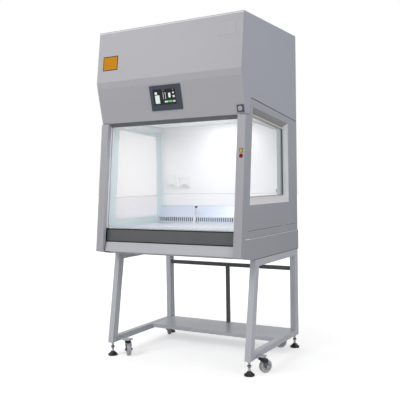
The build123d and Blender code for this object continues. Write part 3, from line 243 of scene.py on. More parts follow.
def brushed(name, colour, metal=0.6, rough=0.36, along=(6.0, 500.0, 500.0), areas=None):
    """Sheet metal with a fine brushed grain along one axis."""
    finish, place = new_finish(name)
    grain = noise(place, 1.0, 3.0, along)
    shade = place.mix(grain, rgba(colour, 0.93), rgba(colour, 1.05))
    close_finish(
        place, Base_Color=with_areas(place, shade, areas), Metallic=metal,
        Roughness=grain * 0.16 + (rough - 0.08), Normal=bumped(place, grain, 0.05, 0.0002),
    )
    return finish


def moulded(name, colour, rough=0.45, grain=900.0, depth=0.12, coat=0.0):
    """Moulded plastic or rubber with a fine grain."""
    finish, place = new_finish(name)
    pits = noise(place, grain)
    patches = noise(place, 9.0)
    shade = place.mix(patches, rgba(colour, 0.90), rgba(colour, 1.10))
    close_finish(
        place, Base_Color=shade, Roughness=patches * 0.12 + (rough - 0.06), Coat_Weight=coat,
        Normal=bumped(place, pits, depth, 0.0003),
    )
    return finish


def plated(name, colour, rough=0.18):
    """Bright zinc or chrome plating with faint wiping marks."""
    finish, place = new_finish(name)
    marks = noise(place, 60.0, 4.0)
    shade = place.mix(marks, rgba(colour, 0.88), rgba(colour, 1.06))
    close_finish(place, Base_Color=shade, Metallic=1.0, Roughness=marks * 0.18 + (rough - 0.06))
    return finish


def clear_pane(name, colour, alpha, painted_light_veils=None):
    """Safety glass with a faint film of wiping marks, and more opaque areas where they are given,
    painted light over the shade behind the pane.
    """
    finish, place = new_finish(name)
    film = noise(place, 5.0, 3.0, (1.0, 1.0, 0.35))
    shade = place.mix(film, rgba(colour, 0.97), rgba(colour, 1.02))
    if painted_light_veils:
        for mask, share in painted_light_veils(*layout_axes(place)):
            alpha = mask * share + alpha
    close_finish(
        place, Base_Color=shade, Roughness=film * 0.05 + 0.02, Alpha=alpha, Specular_IOR_Level=0.5
    )
    return finish


def glowing(name, colour, strength):
    """Lit area of a display."""
    finish, place = new_finish(name)
    pixels = noise(place, 700.0, 1.0)
    shade = place.mix(pixels, rgba(colour, 0.92), rgba(colour))
    close_finish(
        place, Base_Color=shade, Roughness=0.3, Emission_Color=shade, Emission_Strength=strength
    )
    return finish


def flat_print(name, colour):
    """Thin printed or painted plate."""
    finish, place = new_finish(name)
    flecks = noise(place, 260.0, 3.0)
    shade = place.mix(flecks, rgba(colour, 0.93), rgba(colour, 1.05))
    close_finish(
        place, Base_Color=shade, Roughness=flecks * 0.12 + 0.64,
        Normal=bumped(place, flecks, 0.05, 0.0002), Specular_IOR_Level=0.15,
    )
    return finish


# Mesh helpers

def tint_since(bm, before, tone):
    """Give the faces made since a set of faces was taken one of the piece's finishes."""
    for face in set(bm.faces) - before:
        face.material_index = tone


def rounded(bm, verts, radius):
    """Bevel the edges of a closed shape, in millimetres, and give the verts it then has."""
    edges = list({e for v in verts for e in v.link_edges})
    out = bmesh.ops.bevel(
        bm, geom=edges, offset=radius / 1000, offset_type="OFFSET", segments=2, profile=0.5,
        affect="EDGES", material=-1,
    )
    return list({v for f in out["faces"] for v in f.verts} | {v for v in verts if v.is_valid})


def joined_to(verts):
    """The verts given and all that edges join them to."""
    made = set(verts)
    found = made
    while found:
        found = {w for v in found for e in v.link_edges for w in e.verts} - made
        made |= found
    return list(made)


def box_mesh(bm, matrix, width, height, depth, edge):
    """Bevelled bar in millimetres, its foot on the matrix's face and its depth out of it."""
    made = bmesh.ops.create_cube(bm, size=1.0)["verts"]
    bmesh.ops.scale(bm, vec=(width / 1000, height / 1000, depth / 1000), verts=made)
    bmesh.ops.translate(bm, vec=(0, 0, depth / 2000), verts=made)
    bmesh.ops.transform(bm, matrix=matrix, verts=rounded(bm, made, edge))


def bar_between(bm, start, end, out, width, depth):
    """Bar from point to point, with its width square to the run and its depth along out."""
    run = end - start
    across = run.normalized()
    up = out.cross(across).normalized()
    matrix = face_matrix((start + end) / 2, across, up)
    box_mesh(bm, matrix, run.length * 1000, width, depth, min(width, depth) * 0.2)


def turned(bm, profile, matrix, steps=32):
    """Outline of radius and height in millimetres, turned once round the Z axis.

    One that starts on the axis ends on it. Any other is closed."""
    ring = [bm.verts.new((r / 1000, 0, h / 1000)) for r, h in profile]
    after = ring[1:] if profile[0][0] == 0 else ring[1:] + ring[:1]
    edges = [bm.edges.new(pair) for pair in zip(ring, after)]
    out = bmesh.ops.spin(
        bm, geom=ring + edges, axis=(0, 0, 1), cent=(0, 0, 0), angle=2 * math.pi, steps=steps,
        use_merge=True,
    )
    last = [v for v in out["geom_last"] if isinstance(v, bmesh.types.BMVert)]
    bmesh.ops.transform(bm, matrix=matrix, verts=joined_to(ring + last))


def make_piece(name, bm, body, finishes, smooth=False):
    """Turn a bmesh into a piece that rides on a body."""
    bmesh.ops.remove_doubles(bm, verts=bm.verts, dist=1e-6)
    bmesh.ops.recalc_face_normals(bm, faces=bm.faces)
    mesh = bpy.data.meshes.new(name)
    bm.to_mesh(mesh)
    bm.free()
    for finish in finishes:
        mesh.materials.append(finish)
    if smooth:
        mesh.shade_smooth()
        mesh.set_sharp_from_angle(angle=math.radians(35))
    piece = bpy.data.objects.new(name, mesh)
    bpy.context.scene.collection.objects.link(piece)
    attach(piece, body)


def dress(finish, *nodes):
    """Give CAD nodes a finish."""
    for node in nodes:
        piece = frame["nodes"][node]
        if not piece.material_slots:
            piece.data.materials.append(finish)
        for place in piece.material_slots:
            place.material = finish


# Sizes and colours that a user would change

def colour_prop(name, description, default):
    """Colour that shows in the panel."""
    return bpy.props.FloatVectorProperty(
        name=name, description=description, default=default, subtype="COLOR", size=3, min=0.0, max=1.0
    )


class CabinetColours(bpy.types.PropertyGroup):
    hood: colour_prop("Hood", "Powder coat of the hood's front", (0.435, 0.435, 0.465))
    # The hood's sides are the same paint as its front; this colour makes them bluer, a painted cast
    # of cool light from the side.
    hood_side_painted_light: colour_prop("Hood side", "Powder coat of the hood's sides", (0.40, 0.417, 0.495))
    # Partly painted light: the lower sides' paint, made bluer than the pillars' front as a painted
    # cast of cool side light.
    side: colour_prop("Side", "Powder coat of the lower sides", (0.37, 0.385, 0.43))
    pillar: colour_prop("Pillar", "Powder coat of the pillars' front", (0.42, 0.42, 0.455))
    panel: colour_prop("Lower panel", "Powder coat of the panel under the apron", (0.52, 0.52, 0.56))
    stand: colour_prop("Stand", "Powder coat of the stand", (0.54, 0.555, 0.60))
    apron: colour_prop("Apron", "Dark front rest", (0.090, 0.093, 0.097))
    steel: colour_prop("Chamber", "Steel of the work chamber", (0.70, 0.71, 0.75))
    liner: colour_prop("Side walls", "Steel of the chamber's side walls", (0.66, 0.76, 0.77))
    amber: colour_prop("Plate", "Plain plate on the hood", (0.66, 0.27, 0.006))


class CabinetSizes(bpy.types.PropertyGroup):
    plate_width: bpy.props.FloatProperty(
        name="Plate width", description="Width of the plain plate on the hood", default=0.111,
        min=0.02, max=0.3, unit="LENGTH", subtype="DISTANCE",
    )
    screw_radius: bpy.props.FloatProperty(
        name="Screw radius", description="Radius of the cover screws' heads", default=0.005,
        min=0.002, max=0.01, unit="LENGTH", subtype="DISTANCE",
    )
    thread_pitch: bpy.props.FloatProperty(
        name="Thread pitch", description="Pitch of the levelling feet's thread", default=0.00175,
        min=0.001, max=0.003, unit="LENGTH", subtype="DISTANCE",
    )


# Operators

class CABINET_OT_stage(bpy.types.Operator):
    """Floor, plain light and the camera"""
    bl_idname = "cabinet.stage"
    bl_label = "Stage"

    def execute(self, context):
        scene = context.scene
        scene.view_settings.view_transform = "Standard"
        self.add_camera(scene)
        self.add_floor(scene)
        self.add_world(scene)
        for name, (place, size, power, aim) in LAMPS.items():
            self.add_lamp(scene, name, place, size, power, aim)
        self.add_lamp(scene, "work_light", at(0, 230, 1440), 0.30, 2.0, at(0, 330, 900))
        return {"FINISHED"}

    def add_camera(self, scene):
        """Camera of the picture, turned by yaw, pitch and roll in degrees."""
        yaw, pitch, roll = (math.radians(angle) for angle in CAMERA_TURN)
        ahead = Vector((
            -math.sin(yaw) * math.cos(pitch), math.cos(yaw) * math.cos(pitch), math.sin(pitch)
        ))
        right = ahead.cross(Vector((0, 0, 1))).normalized()
        up = right.cross(ahead)
        tilted = right * math.cos(roll) + up * math.sin(roll)
        upward = up * math.cos(roll) - right * math.sin(roll)
        data = bpy.data.cameras.new("camera")
        data.sensor_width = 36.0
        data.lens = CAMERA_LENS
        camera = bpy.data.objects.new("camera", data)
        turn = Matrix((tilted, upward, -ahead)).transposed().to_4x4()
        camera.matrix_world = Matrix.Translation(at(*CAMERA_PLACE)) @ turn
        scene.collection.objects.link(camera)
        scene.camera = camera

    def add_floor(self, scene):
        """Floor that glows for the camera and fades to white away from the cabinet; its weaker glow
        near the cabinet is painted light that lightens the shadow there.
        """
        bm = bmesh.new()
        bmesh.ops.create_grid(bm, x_segments=1, y_segments=1, size=40.0)
        mesh = bpy.data.meshes.new("floor")
        bm.to_mesh(mesh)
        bm.free()
        finish, place = new_finish("floor_paint")
        seen = place.node("ShaderNodeLightPath")
        far = place.node("ShaderNodeVectorMath", {"operation": "LENGTH"}, {0: place}, 1)
        glow = place.node(
            "ShaderNodeMapRange", {"interpolation_type": "SMOOTHSTEP"},
            {"Value": far, "From Min": 0.8, "From Max": 2.6, "To Min": 0.50, "To Max": 0.85},
        )
        close_finish(
            place, Base_Color=(0.86, 0.86, 0.86, 1.0), Roughness=0.9, Specular_IOR_Level=0.1,
            Emission_Color=place.mix(seen * glow, BLACK, WHITE), Emission_Strength=1.0,
        )
        mesh.materials.append(finish)
        floor = bpy.data.objects.new("floor", mesh)
        scene.collection.objects.link(floor)

    def add_world(self, scene):
        """White where it is seen or mirrored, and weaker as a light."""
        world = bpy.data.worlds.new("studio")
        world.use_nodes = True
        tree = world.node_tree
        tree.nodes.clear()
        path = tree.nodes.new("ShaderNodeLightPath")
        seen = Tone(tree, path.outputs["Is Camera Ray"])
        for output in ("Is Glossy Ray", "Is Transmission Ray"):
            seen = seen.math("MAXIMUM", seen, Tone(tree, path.outputs[output]))
        strength = seen * (1.0 - WORLD_LEVEL) + WORLD_LEVEL
        sky = seen.node("ShaderNodeBackground", {}, {"Color": WHITE, "Strength": strength})
        seen.node("ShaderNodeOutputWorld", {}, {"Surface": sky})
        scene.world = world

    def add_lamp(self, scene, name, place, size, energy, aim):
        data = bpy.data.lights.new(name, "AREA")
        data.shape = "SQUARE"
        data.size = size
        data.energy = energy
        lamp = bpy.data.objects.new(name, data)
        lamp.location = place
        lamp.rotation_mode = "QUATERNION"
        lamp.rotation_quaternion = (Vector(aim) - Vector(place)).to_track_quat("-Z", "Y")
        scene.collection.objects.link(lamp)


class CABINET_OT_panels(bpy.types.Operator):
    """Powder coat of the hood, sides, covers and stand, with painted shade and highlights in places
    """
    bl_idname = "cabinet.panels"
    bl_label = "Painted panels"

    def execute(self, context):
        colours = context.scene.cabinet_colours

        def seam_line(y, z):
            """Shadow line under the hood's side."""
            fall = (SEAM_FRONT[1] - SEAM_REAR[1]) / (SEAM_REAR[0] - SEAM_FRONT[0])
            off = abs(z + (y - SEAM_FRONT[0]) * fall - SEAM_FRONT[1])
            return (off < 2.0) * (y > SEAM_FRONT[0] - 2.0)

        def hood_areas(x, y, z):
            # Painted shade: the hood's underside below the lower slope is dark because it faces down,
            # away from the lamps.
            soffit_shade = (z < 1465.9) * (y > 9.6) * (abs(x) < 449.0)
            # Painted highlight: the fold between the two slopes is a band lighter than the slopes.
            crease_highlight = (abs(z - 1695.0) < 19.5) * (y < -30.0)
            # Painted highlight: a light line along the top front edge.
            rim = (z > 2021.5) * (y < 2.5)
            return [
                (crease_highlight, (0.455, 0.455, 0.485)), (rim, (0.80, 0.80, 0.84)),
                # Outer sides: the front's paint made bluer as painted cool side light.
                (abs(x) > OUTER_X, colours.hood_side_painted_light), (soffit_shade, (0.145, 0.145, 0.155)),
                (seam_line(y, z), SEAM_SHADE),
            ]

        def side_areas(x, y, z):
            """Faces of the frame in from its outer side, its seams, and its underside, with painted
            shade and highlights on many of them.
            """
            inner = abs(x) < OUTER_X + 0.2
            front = inner * (abs(x) > 449.5) * (y < 14.0)
            # White paint of the window's rear reveal, set near full white as painted light for a
            # recess the lamps barely reach.
            reveal = inner * (y > 608.0) * (z > 990.0)
            sill = inner * (abs(x) > 455.0) * (z < 1002.5) * (z > 860.0) * (y > 20.0)
            # Painted shade: the ducts' inner faces under the worktop and at the back, seen through
            # the grille and slots.
            duct = inner * (abs(y - 390.0) < 360.0) * (z > 650.0) * (z < 812.0)
            rear_duct = inner * (abs(y - 655.0) < 95.0) * (z > 650.0) * (z < 935.0)
            # Painted shade: the window's top reveal, which faces down, is dark grey.
            soffit_shade = inner * (y > 90.0) * (y < 606.0) * (z > 1415.0)
            # Painted shade in the groove along the side at worktop height.
            groove_shade = (abs(z - 816.0) < 1.2) * (y > 8.0) * (y < 490.0)
            # Painted highlight: a light line on the edges at the seam above the base pan.
            seam_highlight = (abs(z - 771.5) < 2.6) * (y > -23.0)
            # Painted shade: a dark band along the foot of the sides, the shadow in the gap over the
            # stand.
            under = (z < 651.0) * (abs(x) > OUTER_X)
            return [
                (sill, (0.90, 0.88, 0.90)), (front, colours.pillar),
                (reveal, (0.95, 0.95, 0.98)), (soffit_shade, (0.32, 0.32, 0.34)),
                (groove_shade, (0.05, 0.05, 0.06)), (seam_highlight, (0.80, 0.81, 0.84)),
                (seam_line(y, z), SEAM_SHADE), (duct, PAINTED_VOID_SHADE), (rear_duct, PAINTED_VOID_SHADE),
                (under, (0.09, 0.09, 0.10)),
            ]

        def cover_areas(x, y, z):
            # Painted shade on the inner face behind the baffle's slots.
            return [((y < BACK_Y - 0.6) * (z < 935.0), PAINTED_VOID_SHADE)]

        dress(powder_coat("hood_coat", colours.hood, hood_areas), "hood_shell")
        cover = powder_coat("cover_coat", (0.42, 0.425, 0.45), cover_areas)
        dress(cover, "top_cover", "back_cover", "exhaust_guard")
        side = powder_coat("side_coat", colours.side, side_areas)
        dress(side, "side_frame_right", "side_frame_left", "base_pan")
        dress(powder_coat("panel_coat", colours.panel), "lower_front_panel")
        stand = powder_coat("stand_coat", colours.stand, gloss=0.36)
        dress(stand, "stand_side_left", "stand_side_right", "stand_shelf")
        # Painted shade: the stand's rear frame has a much darker coat than the rest of the stand, for
        # its place in shadow under the cabinet.
        dress(powder_coat("beam_shade_coat", (0.11, 0.115, 0.125), gloss=0.5), "stand_rear_frame")
        return {"FINISHED"}


class CABINET_OT_chamber(bpy.types.Operator):
    """Brushed steel and the lamp of the work chamber, with painted shade where it shows through slots
    and holes
    """
    bl_idname = "cabinet.chamber"
    bl_label = "Work chamber"

    def execute(self, context):
        colours = context.scene.cabinet_colours

        def wall_areas(x, y, z):
            seam = abs(z - 1014.0) < 0.9
            return [(seam, (0.45, 0.46, 0.50))]

        def baffle_areas(x, y, z):
            edge = z > 928.5
            # Painted shade on the baffle's back, seen through its slots.
            back = (y > 549.0) * (z < 857.0)
            return [(edge, (0.42, 0.45, 0.52)), (back, PAINTED_VOID_SHADE)]

        def under_areas(x, y, z):
            # Painted shade under the worktop and grille, seen through the grille's holes.
            return [(z < 815.7, PAINTED_VOID_SHADE)]

        def liner_areas(x, y, z):
            head = z > 1444.0
            return [(head, (0.86, 0.89, 0.90))]

        wall = brushed("wall_steel", (0.93, 0.93, 0.945), 0.25, 0.42, areas=wall_areas)
        dress(wall, "back_wall")
        baffle = brushed("baffle_steel", (0.62, 0.68, 0.80), 0.35, 0.42, areas=baffle_areas)
        dress(baffle, "rear_baffle")
        work = brushed("work_steel", colours.steel, 0.35, 0.36, areas=under_areas)
        dress(work, "worktop", "front_grille")
        up_grain = (500.0, 500.0, 6.0)
        liner = brushed("liner_steel", colours.liner, 0.25, 0.42, up_grain, liner_areas)
        dress(liner, "side_liners")
        dress(powder_coat("ceiling_coat", (0.96, 0.96, 0.96)), "ceiling_diffuser")
        dress(self.lamp_finish(), "work_lamp")
        return {"FINISHED"}

    def lamp_finish(self):
        """White holders and tray with a lit tube."""
        finish, place = new_finish("lamp_tube")
        x, _, z = layout_axes(place)
        lit = (z < 1503.0) * (abs(x) < 424.5)
        cloud = noise(place, 30.0, 2.0)
        shade = place.mix(cloud, (0.84, 0.84, 0.83, 1.0), (0.90, 0.90, 0.89, 1.0))
        close_finish(
            place, Base_Color=shade, Roughness=cloud * 0.1 + 0.25,
            Emission_Color=place.mix(lit, BLACK, (1.0, 1.0, 0.98, 1.0)),
            Emission_Strength=3.0,
        )
        return finish


class CABINET_OT_glazing(bpy.types.Operator):
    """Sash, side windows and their trims"""
    bl_idname = "cabinet.glazing"
    bl_label = "Glass"

    def execute(self, context):
        dress(clear_pane("sash_pane", (0.86, 0.92, 0.90), 0.07), "sash_glass")
        dress(clear_pane("window_pane", (0.93, 0.89, 0.91), 0.09, self.painted_light_veils), "side_windows")
        dress(clear_pane("seal_silicone", (0.78, 0.80, 0.80), 0.12), "sash_seal")
        guide = brushed("guide_metal", (0.74, 0.76, 0.79), 0.4, 0.38, (500.0, 500.0, 8.0))
        dress(guide, "sash_guides")
        dress(brushed("bar_metal", (0.62, 0.63, 0.65), 0.8, 0.34), "sash_lift_bar")
        self.window_trims()
        return {"FINISHED"}

    def painted_light_veils(self, x, y, z):
        """Painted light: a more opaque left pane, and a nearly opaque band under the sills, show the
        pane's lit face over the shade on the walls behind.
        """
        return [(x < 0.0, 0.28), (z < 1001.0, 0.55)]

    def window_trims(self):
        """Edge strips where the glass meets the reveal, on both sides."""
        cream = flat_print("trim_cream", (0.80, 0.72, 0.60))
        sand = flat_print("trim_sand", (0.52, 0.49, 0.46))
        dark = moulded("trim_dark", (0.27, 0.27, 0.29), 0.5)
        reveal_x, end_gap = 460.8, 7.0
        corners = [(39.9, 1001.0), (91.9, 1489.0), (611.0, 1430.9), (611.0, 1001.0)]
        middle = Vector((0, 330.0, 1230.0))
        # Corners it runs between, distance in from their line, width, finish
        strips = (
            (1, 2, 4.6, 8.0, 0), (1, 2, 11.6, 4.0, 1), (0, 3, 3.0, 5.0, 1), (3, 2, 3.6, 6.0, 2),
            (0, 1, 3.0, 5.0, 2),
        )
        for side, label in ((1, "right"), (-1, "left")):
            bm = bmesh.new()
            for first, second, inset, width, tone in strips:
                low, high = (Vector((side * reveal_x, *corners[i])) for i in (first, second))
                run = (high - low).normalized()
                inward = run.cross(Vector((1, 0, 0)))
                if inward.dot(middle - low) < 0:
                    inward = -inward
                start = low + inward * inset + run * end_gap
                end = high + inward * inset - run * end_gap
                before = set(bm.faces)
                bar_between(bm, at(*start), at(*end), Vector((side, 0, 0)), width, 3.0)
                tint_since(bm, before, tone)
            make_piece(f"window_trim_{label}", bm, "cabinet", [cream, sand, dark])


class CABINET_OT_front_rest(bpy.types.Operator):
    """Dark front rest, with black strips in the gaps round it as painted shade"""
    bl_idname = "cabinet.front_rest"
    bl_label = "Front rest"

    def execute(self, context):
        colours = context.scene.cabinet_colours
        dress(moulded("apron_skin", colours.apron, 0.42, 1500.0, 0.08), "front_apron")
        # Painted shade: black strips in the gaps at the ends, top and foot of the rest, and at the
        # lower panel's ends, stand in for the shade in those gaps.
        rubber = moulded("gap_shade_black", (0.012, 0.012, 0.013), 0.7)
        bm = bmesh.new()
        inward = Vector((0, math.cos(LEAN), -math.sin(LEAN)))
        side_depth = 36.0
        for side in (-1, 1):
            x = side * 447.9
            low, high = (at(x, front_y(z, side_depth), z) for z in (734.5, 807.0))
            bar_between(bm, low, high, inward, 3.2, 14.0)
        for z, tall, depth in ((735.6, 4.6, side_depth), (810.9, 5.2, 33.0)):
            y = front_y(z, depth)
            bar_between(bm, at(-446.0, y, z), at(446.0, y, z), Vector((0, 1, 0)), tall, 8.0)
        for side in (-1, 1):
            x = side * 448.6
            low, high = at(x, -64.6, 678.0), at(x, -50.0, 732.0)
            bar_between(bm, low, high, Vector((0, -1, 0)), 2.4, 2.0)
        make_piece("apron_gap_shades", bm, "cabinet", [rubber])
        return {"FINISHED"}


class CABINET_OT_controls(bpy.types.Operator):
    """Touch panel with its display, and the key switch"""
    bl_idname = "cabinet.controls"
    bl_label = "Controls"

    def execute(self, context):
        dress(moulded("bezel_skin", (0.050, 0.057, 0.082), 0.45, 1200.0, 0.1), "touch_bezel")
        dress(moulded("key_skin", (0.10, 0.105, 0.13), 0.45, 1200.0, 0.1), "key_plate")
        dress(moulded("screen_skin", (0.010, 0.011, 0.014), 0.15, 1500.0, 0.0, 0.6), "touch_screen")
        dress(plated("key_plating", (0.50, 0.53, 0.60), 0.35), "key_barrel")
        self.display()
        return {"FINISHED"}

    def display(self):
        """Plain blocks and bars lit on the screen."""
        white = glowing("display_white", (0.70, 0.76, 0.75), 0.35)
        green = glowing("display_green", (0.16, 0.50, 0.14), 0.35)
        lime = glowing("display_lime", (0.40, 0.42, 0.10), 0.3)
        # Left, foot, right and top as shares of the screen, and the finish
        blocks = (
            (0.07, 0.10, 0.27, 0.64, 0), (0.07, 0.68, 0.18, 0.84, 0),
            (0.435, 0.38, 0.455, 0.80, 0), (0.53, 0.36, 0.55, 0.80, 0),
            (0.67, 0.44, 0.77, 0.74, 0), (0.86, 0.68, 0.93, 0.78, 0),
            (0.86, 0.44, 0.95, 0.56, 0), (0.48, 0.15, 0.62, 0.25, 0),
            (0.65, 0.15, 0.82, 0.27, 1), (0.85, 0.15, 0.95, 0.25, 0),
            (0.42, 0.92, 0.50, 0.95, 2), (0.89, 0.92, 0.91, 0.95, 0),
        )
        width = SCREEN_X[1] - SCREEN_X[0]
        height = SCREEN_Z[1] - SCREEN_Z[0]
        lift = Matrix.Translation((0, 0, SCREEN_FACE / 1000))
        bm = bmesh.new()
        for u0, v0, u1, v1, tone in blocks:
            x = SCREEN_X[0] + width * (u0 + u1) / 2
            z = SCREEN_Z[0] + height * (v0 + v1) / 2
            matrix = slope_matrix(LOWER_SLOPE, x, z) @ lift
            before = set(bm.faces)
            box_mesh(bm, matrix, width * (u1 - u0), height * (v1 - v0), 0.15, 0.05)
            tint_since(bm, before, tone)
        make_piece("screen_display", bm, "cabinet", [white, green, lime])


class CABINET_OT_plates(bpy.types.Operator):
    """Bare plates on the hood and plain marks on the pillar"""
    bl_idname = "cabinet.plates"
    bl_label = "Bare plates"

    def execute(self, context):
        scene = context.scene
        amber = flat_print("plate_amber", scene.cabinet_colours.amber)
        dark = flat_print("plate_edge", (0.05, 0.045, 0.05))
        pale = flat_print("plate_pale", (0.54, 0.54, 0.57))
        yellow = flat_print("mark_yellow", (0.55, 0.47, 0.06))
        red = flat_print("mark_red", (0.26, 0.012, 0.02))
        wide = scene.cabinet_sizes.plate_width * 1000
        left = slope_matrix(UPPER_SLOPE, -401.5, 1830.0)
        right = slope_matrix(UPPER_SLOPE, 395.5, 1943.5)
        square = pillar_matrix(478.0, 1264.0)
        self.plate("plate_on_hood", left, wide, 89.0, 5.0, [dark, amber])
        self.plate("pale_plate", right, 105.0, 74.0, 1.2, [pale, pale])
        self.plate("pillar_square", square, 24.0, 24.0, 2.4, [dark, yellow])
        bm = bmesh.new()
        profile = [(0, 0), (12.0, 0), (12.0, 0.5), (11.2, 0.9), (0, 0.9)]
        turned(bm, profile, pillar_matrix(479.0, 1234.5))
        make_piece("pillar_disc", bm, "cabinet", [red], smooth=True)
        return {"FINISHED"}

    def plate(self, name, matrix, width, height, rim, finishes):
        """Thin plate with a rim of another shade."""
        bm = bmesh.new()
        box_mesh(bm, Matrix.Identity(4), width, height, 0.6, 0.15)
        top = max(bm.faces, key=lambda f: (round(f.calc_center_median().z, 6), f.calc_area()))
        bmesh.ops.inset_region(bm, faces=[top], thickness=rim / 1000, use_even_offset=True)
        top.material_index = 1
        bmesh.ops.transform(bm, matrix=matrix, verts=bm.verts)
        make_piece(name, bm, "cabinet", finishes)


class CABINET_OT_fittings(bpy.types.Operator):
    """Sockets, tap and service port in the chamber"""
    bl_idname = "cabinet.fittings"
    bl_label = "Chamber fittings"

    def execute(self, context):
        dress(moulded("socket_skin", (0.88, 0.88, 0.90), 0.3, 1200.0, 0.05), "socket_boxes")
        lid = moulded("lid_skin", (0.89, 0.90, 0.92), 0.25, 1200.0, 0.04)
        dress(lid, "socket_lid_left", "socket_lid_right")
        dress(self.tap_finish(), "tap_body")
        dress(moulded("knob_skin", (0.015, 0.015, 0.016), 0.35), "tap_handle")
        dress(moulded("port_skin", (0.34, 0.35, 0.37), 0.45), "service_port")
        self.lid_ribs()
        return {"FINISHED"}

    def tap_finish(self):
        """White enamelled barrel under a plated stem."""
        finish, place = new_finish("tap_skin")
        _, _, z = layout_axes(place)
        stem = z > 867.0
        wear = noise(place, 120.0, 3.0)
        bright = place.mix(wear, (0.62, 0.62, 0.64, 1.0), (0.80, 0.80, 0.82, 1.0))
        shade = place.mix(stem, (0.86, 0.87, 0.88, 1.0), bright)
        close_finish(place, Base_Color=shade, Metallic=stem, Roughness=wear * 0.1 + 0.2)
        return finish

    def lid_ribs(self):
        """Raised frame and a darker bar low on each socket lid."""
        line = moulded("lid_line", (0.82, 0.83, 0.86), 0.35)
        low_bar = moulded("lid_low_bar", (0.26, 0.27, 0.30), 0.4)
        across, up = Vector((1, 0, 0)), Vector((0, 0, 1))
        lid_y = 581.5
        # Distance from the lid's centre line, height, width, reach, finish
        bars = (
            (0.0, 1121.0, 52.0, 2.0, 0), (0.0, 1075.0, 40.0, 3.4, 1),
            (-29.0, 1098.0, 2.0, 46.0, 0), (29.0, 1098.0, 2.0, 46.0, 0),
        )
        for x, label in ((-359.5, "left"), (-257.0, "right")):
            bm = bmesh.new()
            for aside, z, wide, tall, tone in bars:
                matrix = face_matrix(at(x + aside, lid_y, z), across, up)
                before = set(bm.faces)
                box_mesh(bm, matrix, wide, tall, 0.8, 0.2)
                tint_since(bm, before, tone)
            make_piece(f"lid_ribs_{label}", bm, f"lid_{label}", [line, low_bar])


class CABINET_OT_machinery(bpy.types.Operator):
    """Blower, filters and sash drive inside the hood"""
    bl_idname = "cabinet.machinery"
    bl_label = "Machinery"

    def execute(self, context):
        dress(self.pleated(), "downflow_filter", "exhaust_filter")
        plenum = brushed("plenum_zinc", (0.55, 0.56, 0.58), 0.7, 0.45, (40.0, 40.0, 40.0))
        dress(plenum, "blower_plenum")
        wheel = brushed("wheel_alloy", (0.62, 0.63, 0.65), 0.9, 0.4, (60.0, 60.0, 8.0))
        dress(wheel, "blower_wheel")
        dress(moulded("motor_skin", (0.05, 0.05, 0.055), 0.4), "blower_motor", "sash_gearmotor")
        dress(plated("shaft_plating", (0.60, 0.60, 0.62), 0.25), "drive_shaft", "shaft_bearings")
        dress(moulded("pulley_skin", (0.03, 0.03, 0.032), 0.4), "idler_pulleys", "mains_inlet")
        dress(self.belt(), "drive_belts")
        return {"FINISHED"}

    def pleated(self):
        """Filter paper with fine folds across its width."""
        finish, place = new_finish("filter_paper")
        fold = place.node(
            "ShaderNodeTexWave", {"wave_type": "BANDS", "bands_direction": "Y"},
            {"Vector": place, "Scale": 60.0, "Distortion": 0.4},
        )
        shade = place.mix(fold, (0.70, 0.70, 0.67, 1.0), (0.86, 0.86, 0.83, 1.0))
        close_finish(place, Base_Color=shade, Roughness=0.9, Normal=bumped(place, fold, 0.5, 0.001))
        return finish

    def belt(self):
        """Black toothed belt."""
        finish, place = new_finish("belt_skin")
        tooth = place.node(
            "ShaderNodeTexWave", {"wave_type": "BANDS", "bands_direction": "Z"},
            {"Vector": place, "Scale": 62.0},
        )
        shade = place.mix(tooth, (0.015, 0.015, 0.016, 1.0), (0.035, 0.035, 0.036, 1.0))
        close_finish(place, Base_Color=shade, Roughness=0.7, Normal=bumped(place, tooth, 0.6, 0.001))
        return finish


class CABINET_OT_screws(bpy.types.Operator):
    """Screw heads of the back cover and the top grille"""
    bl_idname = "cabinet.screws"
    bl_label = "Cover screws"

    def execute(self, context):
        radius = context.scene.cabinet_sizes.screw_radius * 1000
        zinc = plated("screw_zinc", (0.55, 0.55, 0.57), 0.28)
        bm = bmesh.new()
        across, up = Vector((-1, 0, 0)), Vector((0, 0, 1))
        rows = [(x, z) for x in (-485, -240, 0, 240, 485) for z in (800, 1990)]
        sides = [(x, z) for x in (-485, 485) for z in (1100, 1400, 1700)]
        for x, z in rows + sides:
            self.head(bm, face_matrix(at(x, BACK_Y, z), across, up), radius)
        make_piece("cover_screws", bm, "cabinet", [zinc], smooth=True)
        return {"FINISHED"}

    def head(self, bm, matrix, radius):
        """Domed head with a round socket in it."""
        profile = [
            (0, 0), (radius, 0), (radius, 0.5), (radius * 0.88, 1.5), (radius * 0.6, 2.0),
            (radius * 0.42, 2.1), (radius * 0.40, 0.8), (0, 0.8),
        ]
        turned(bm, profile, matrix, 16)


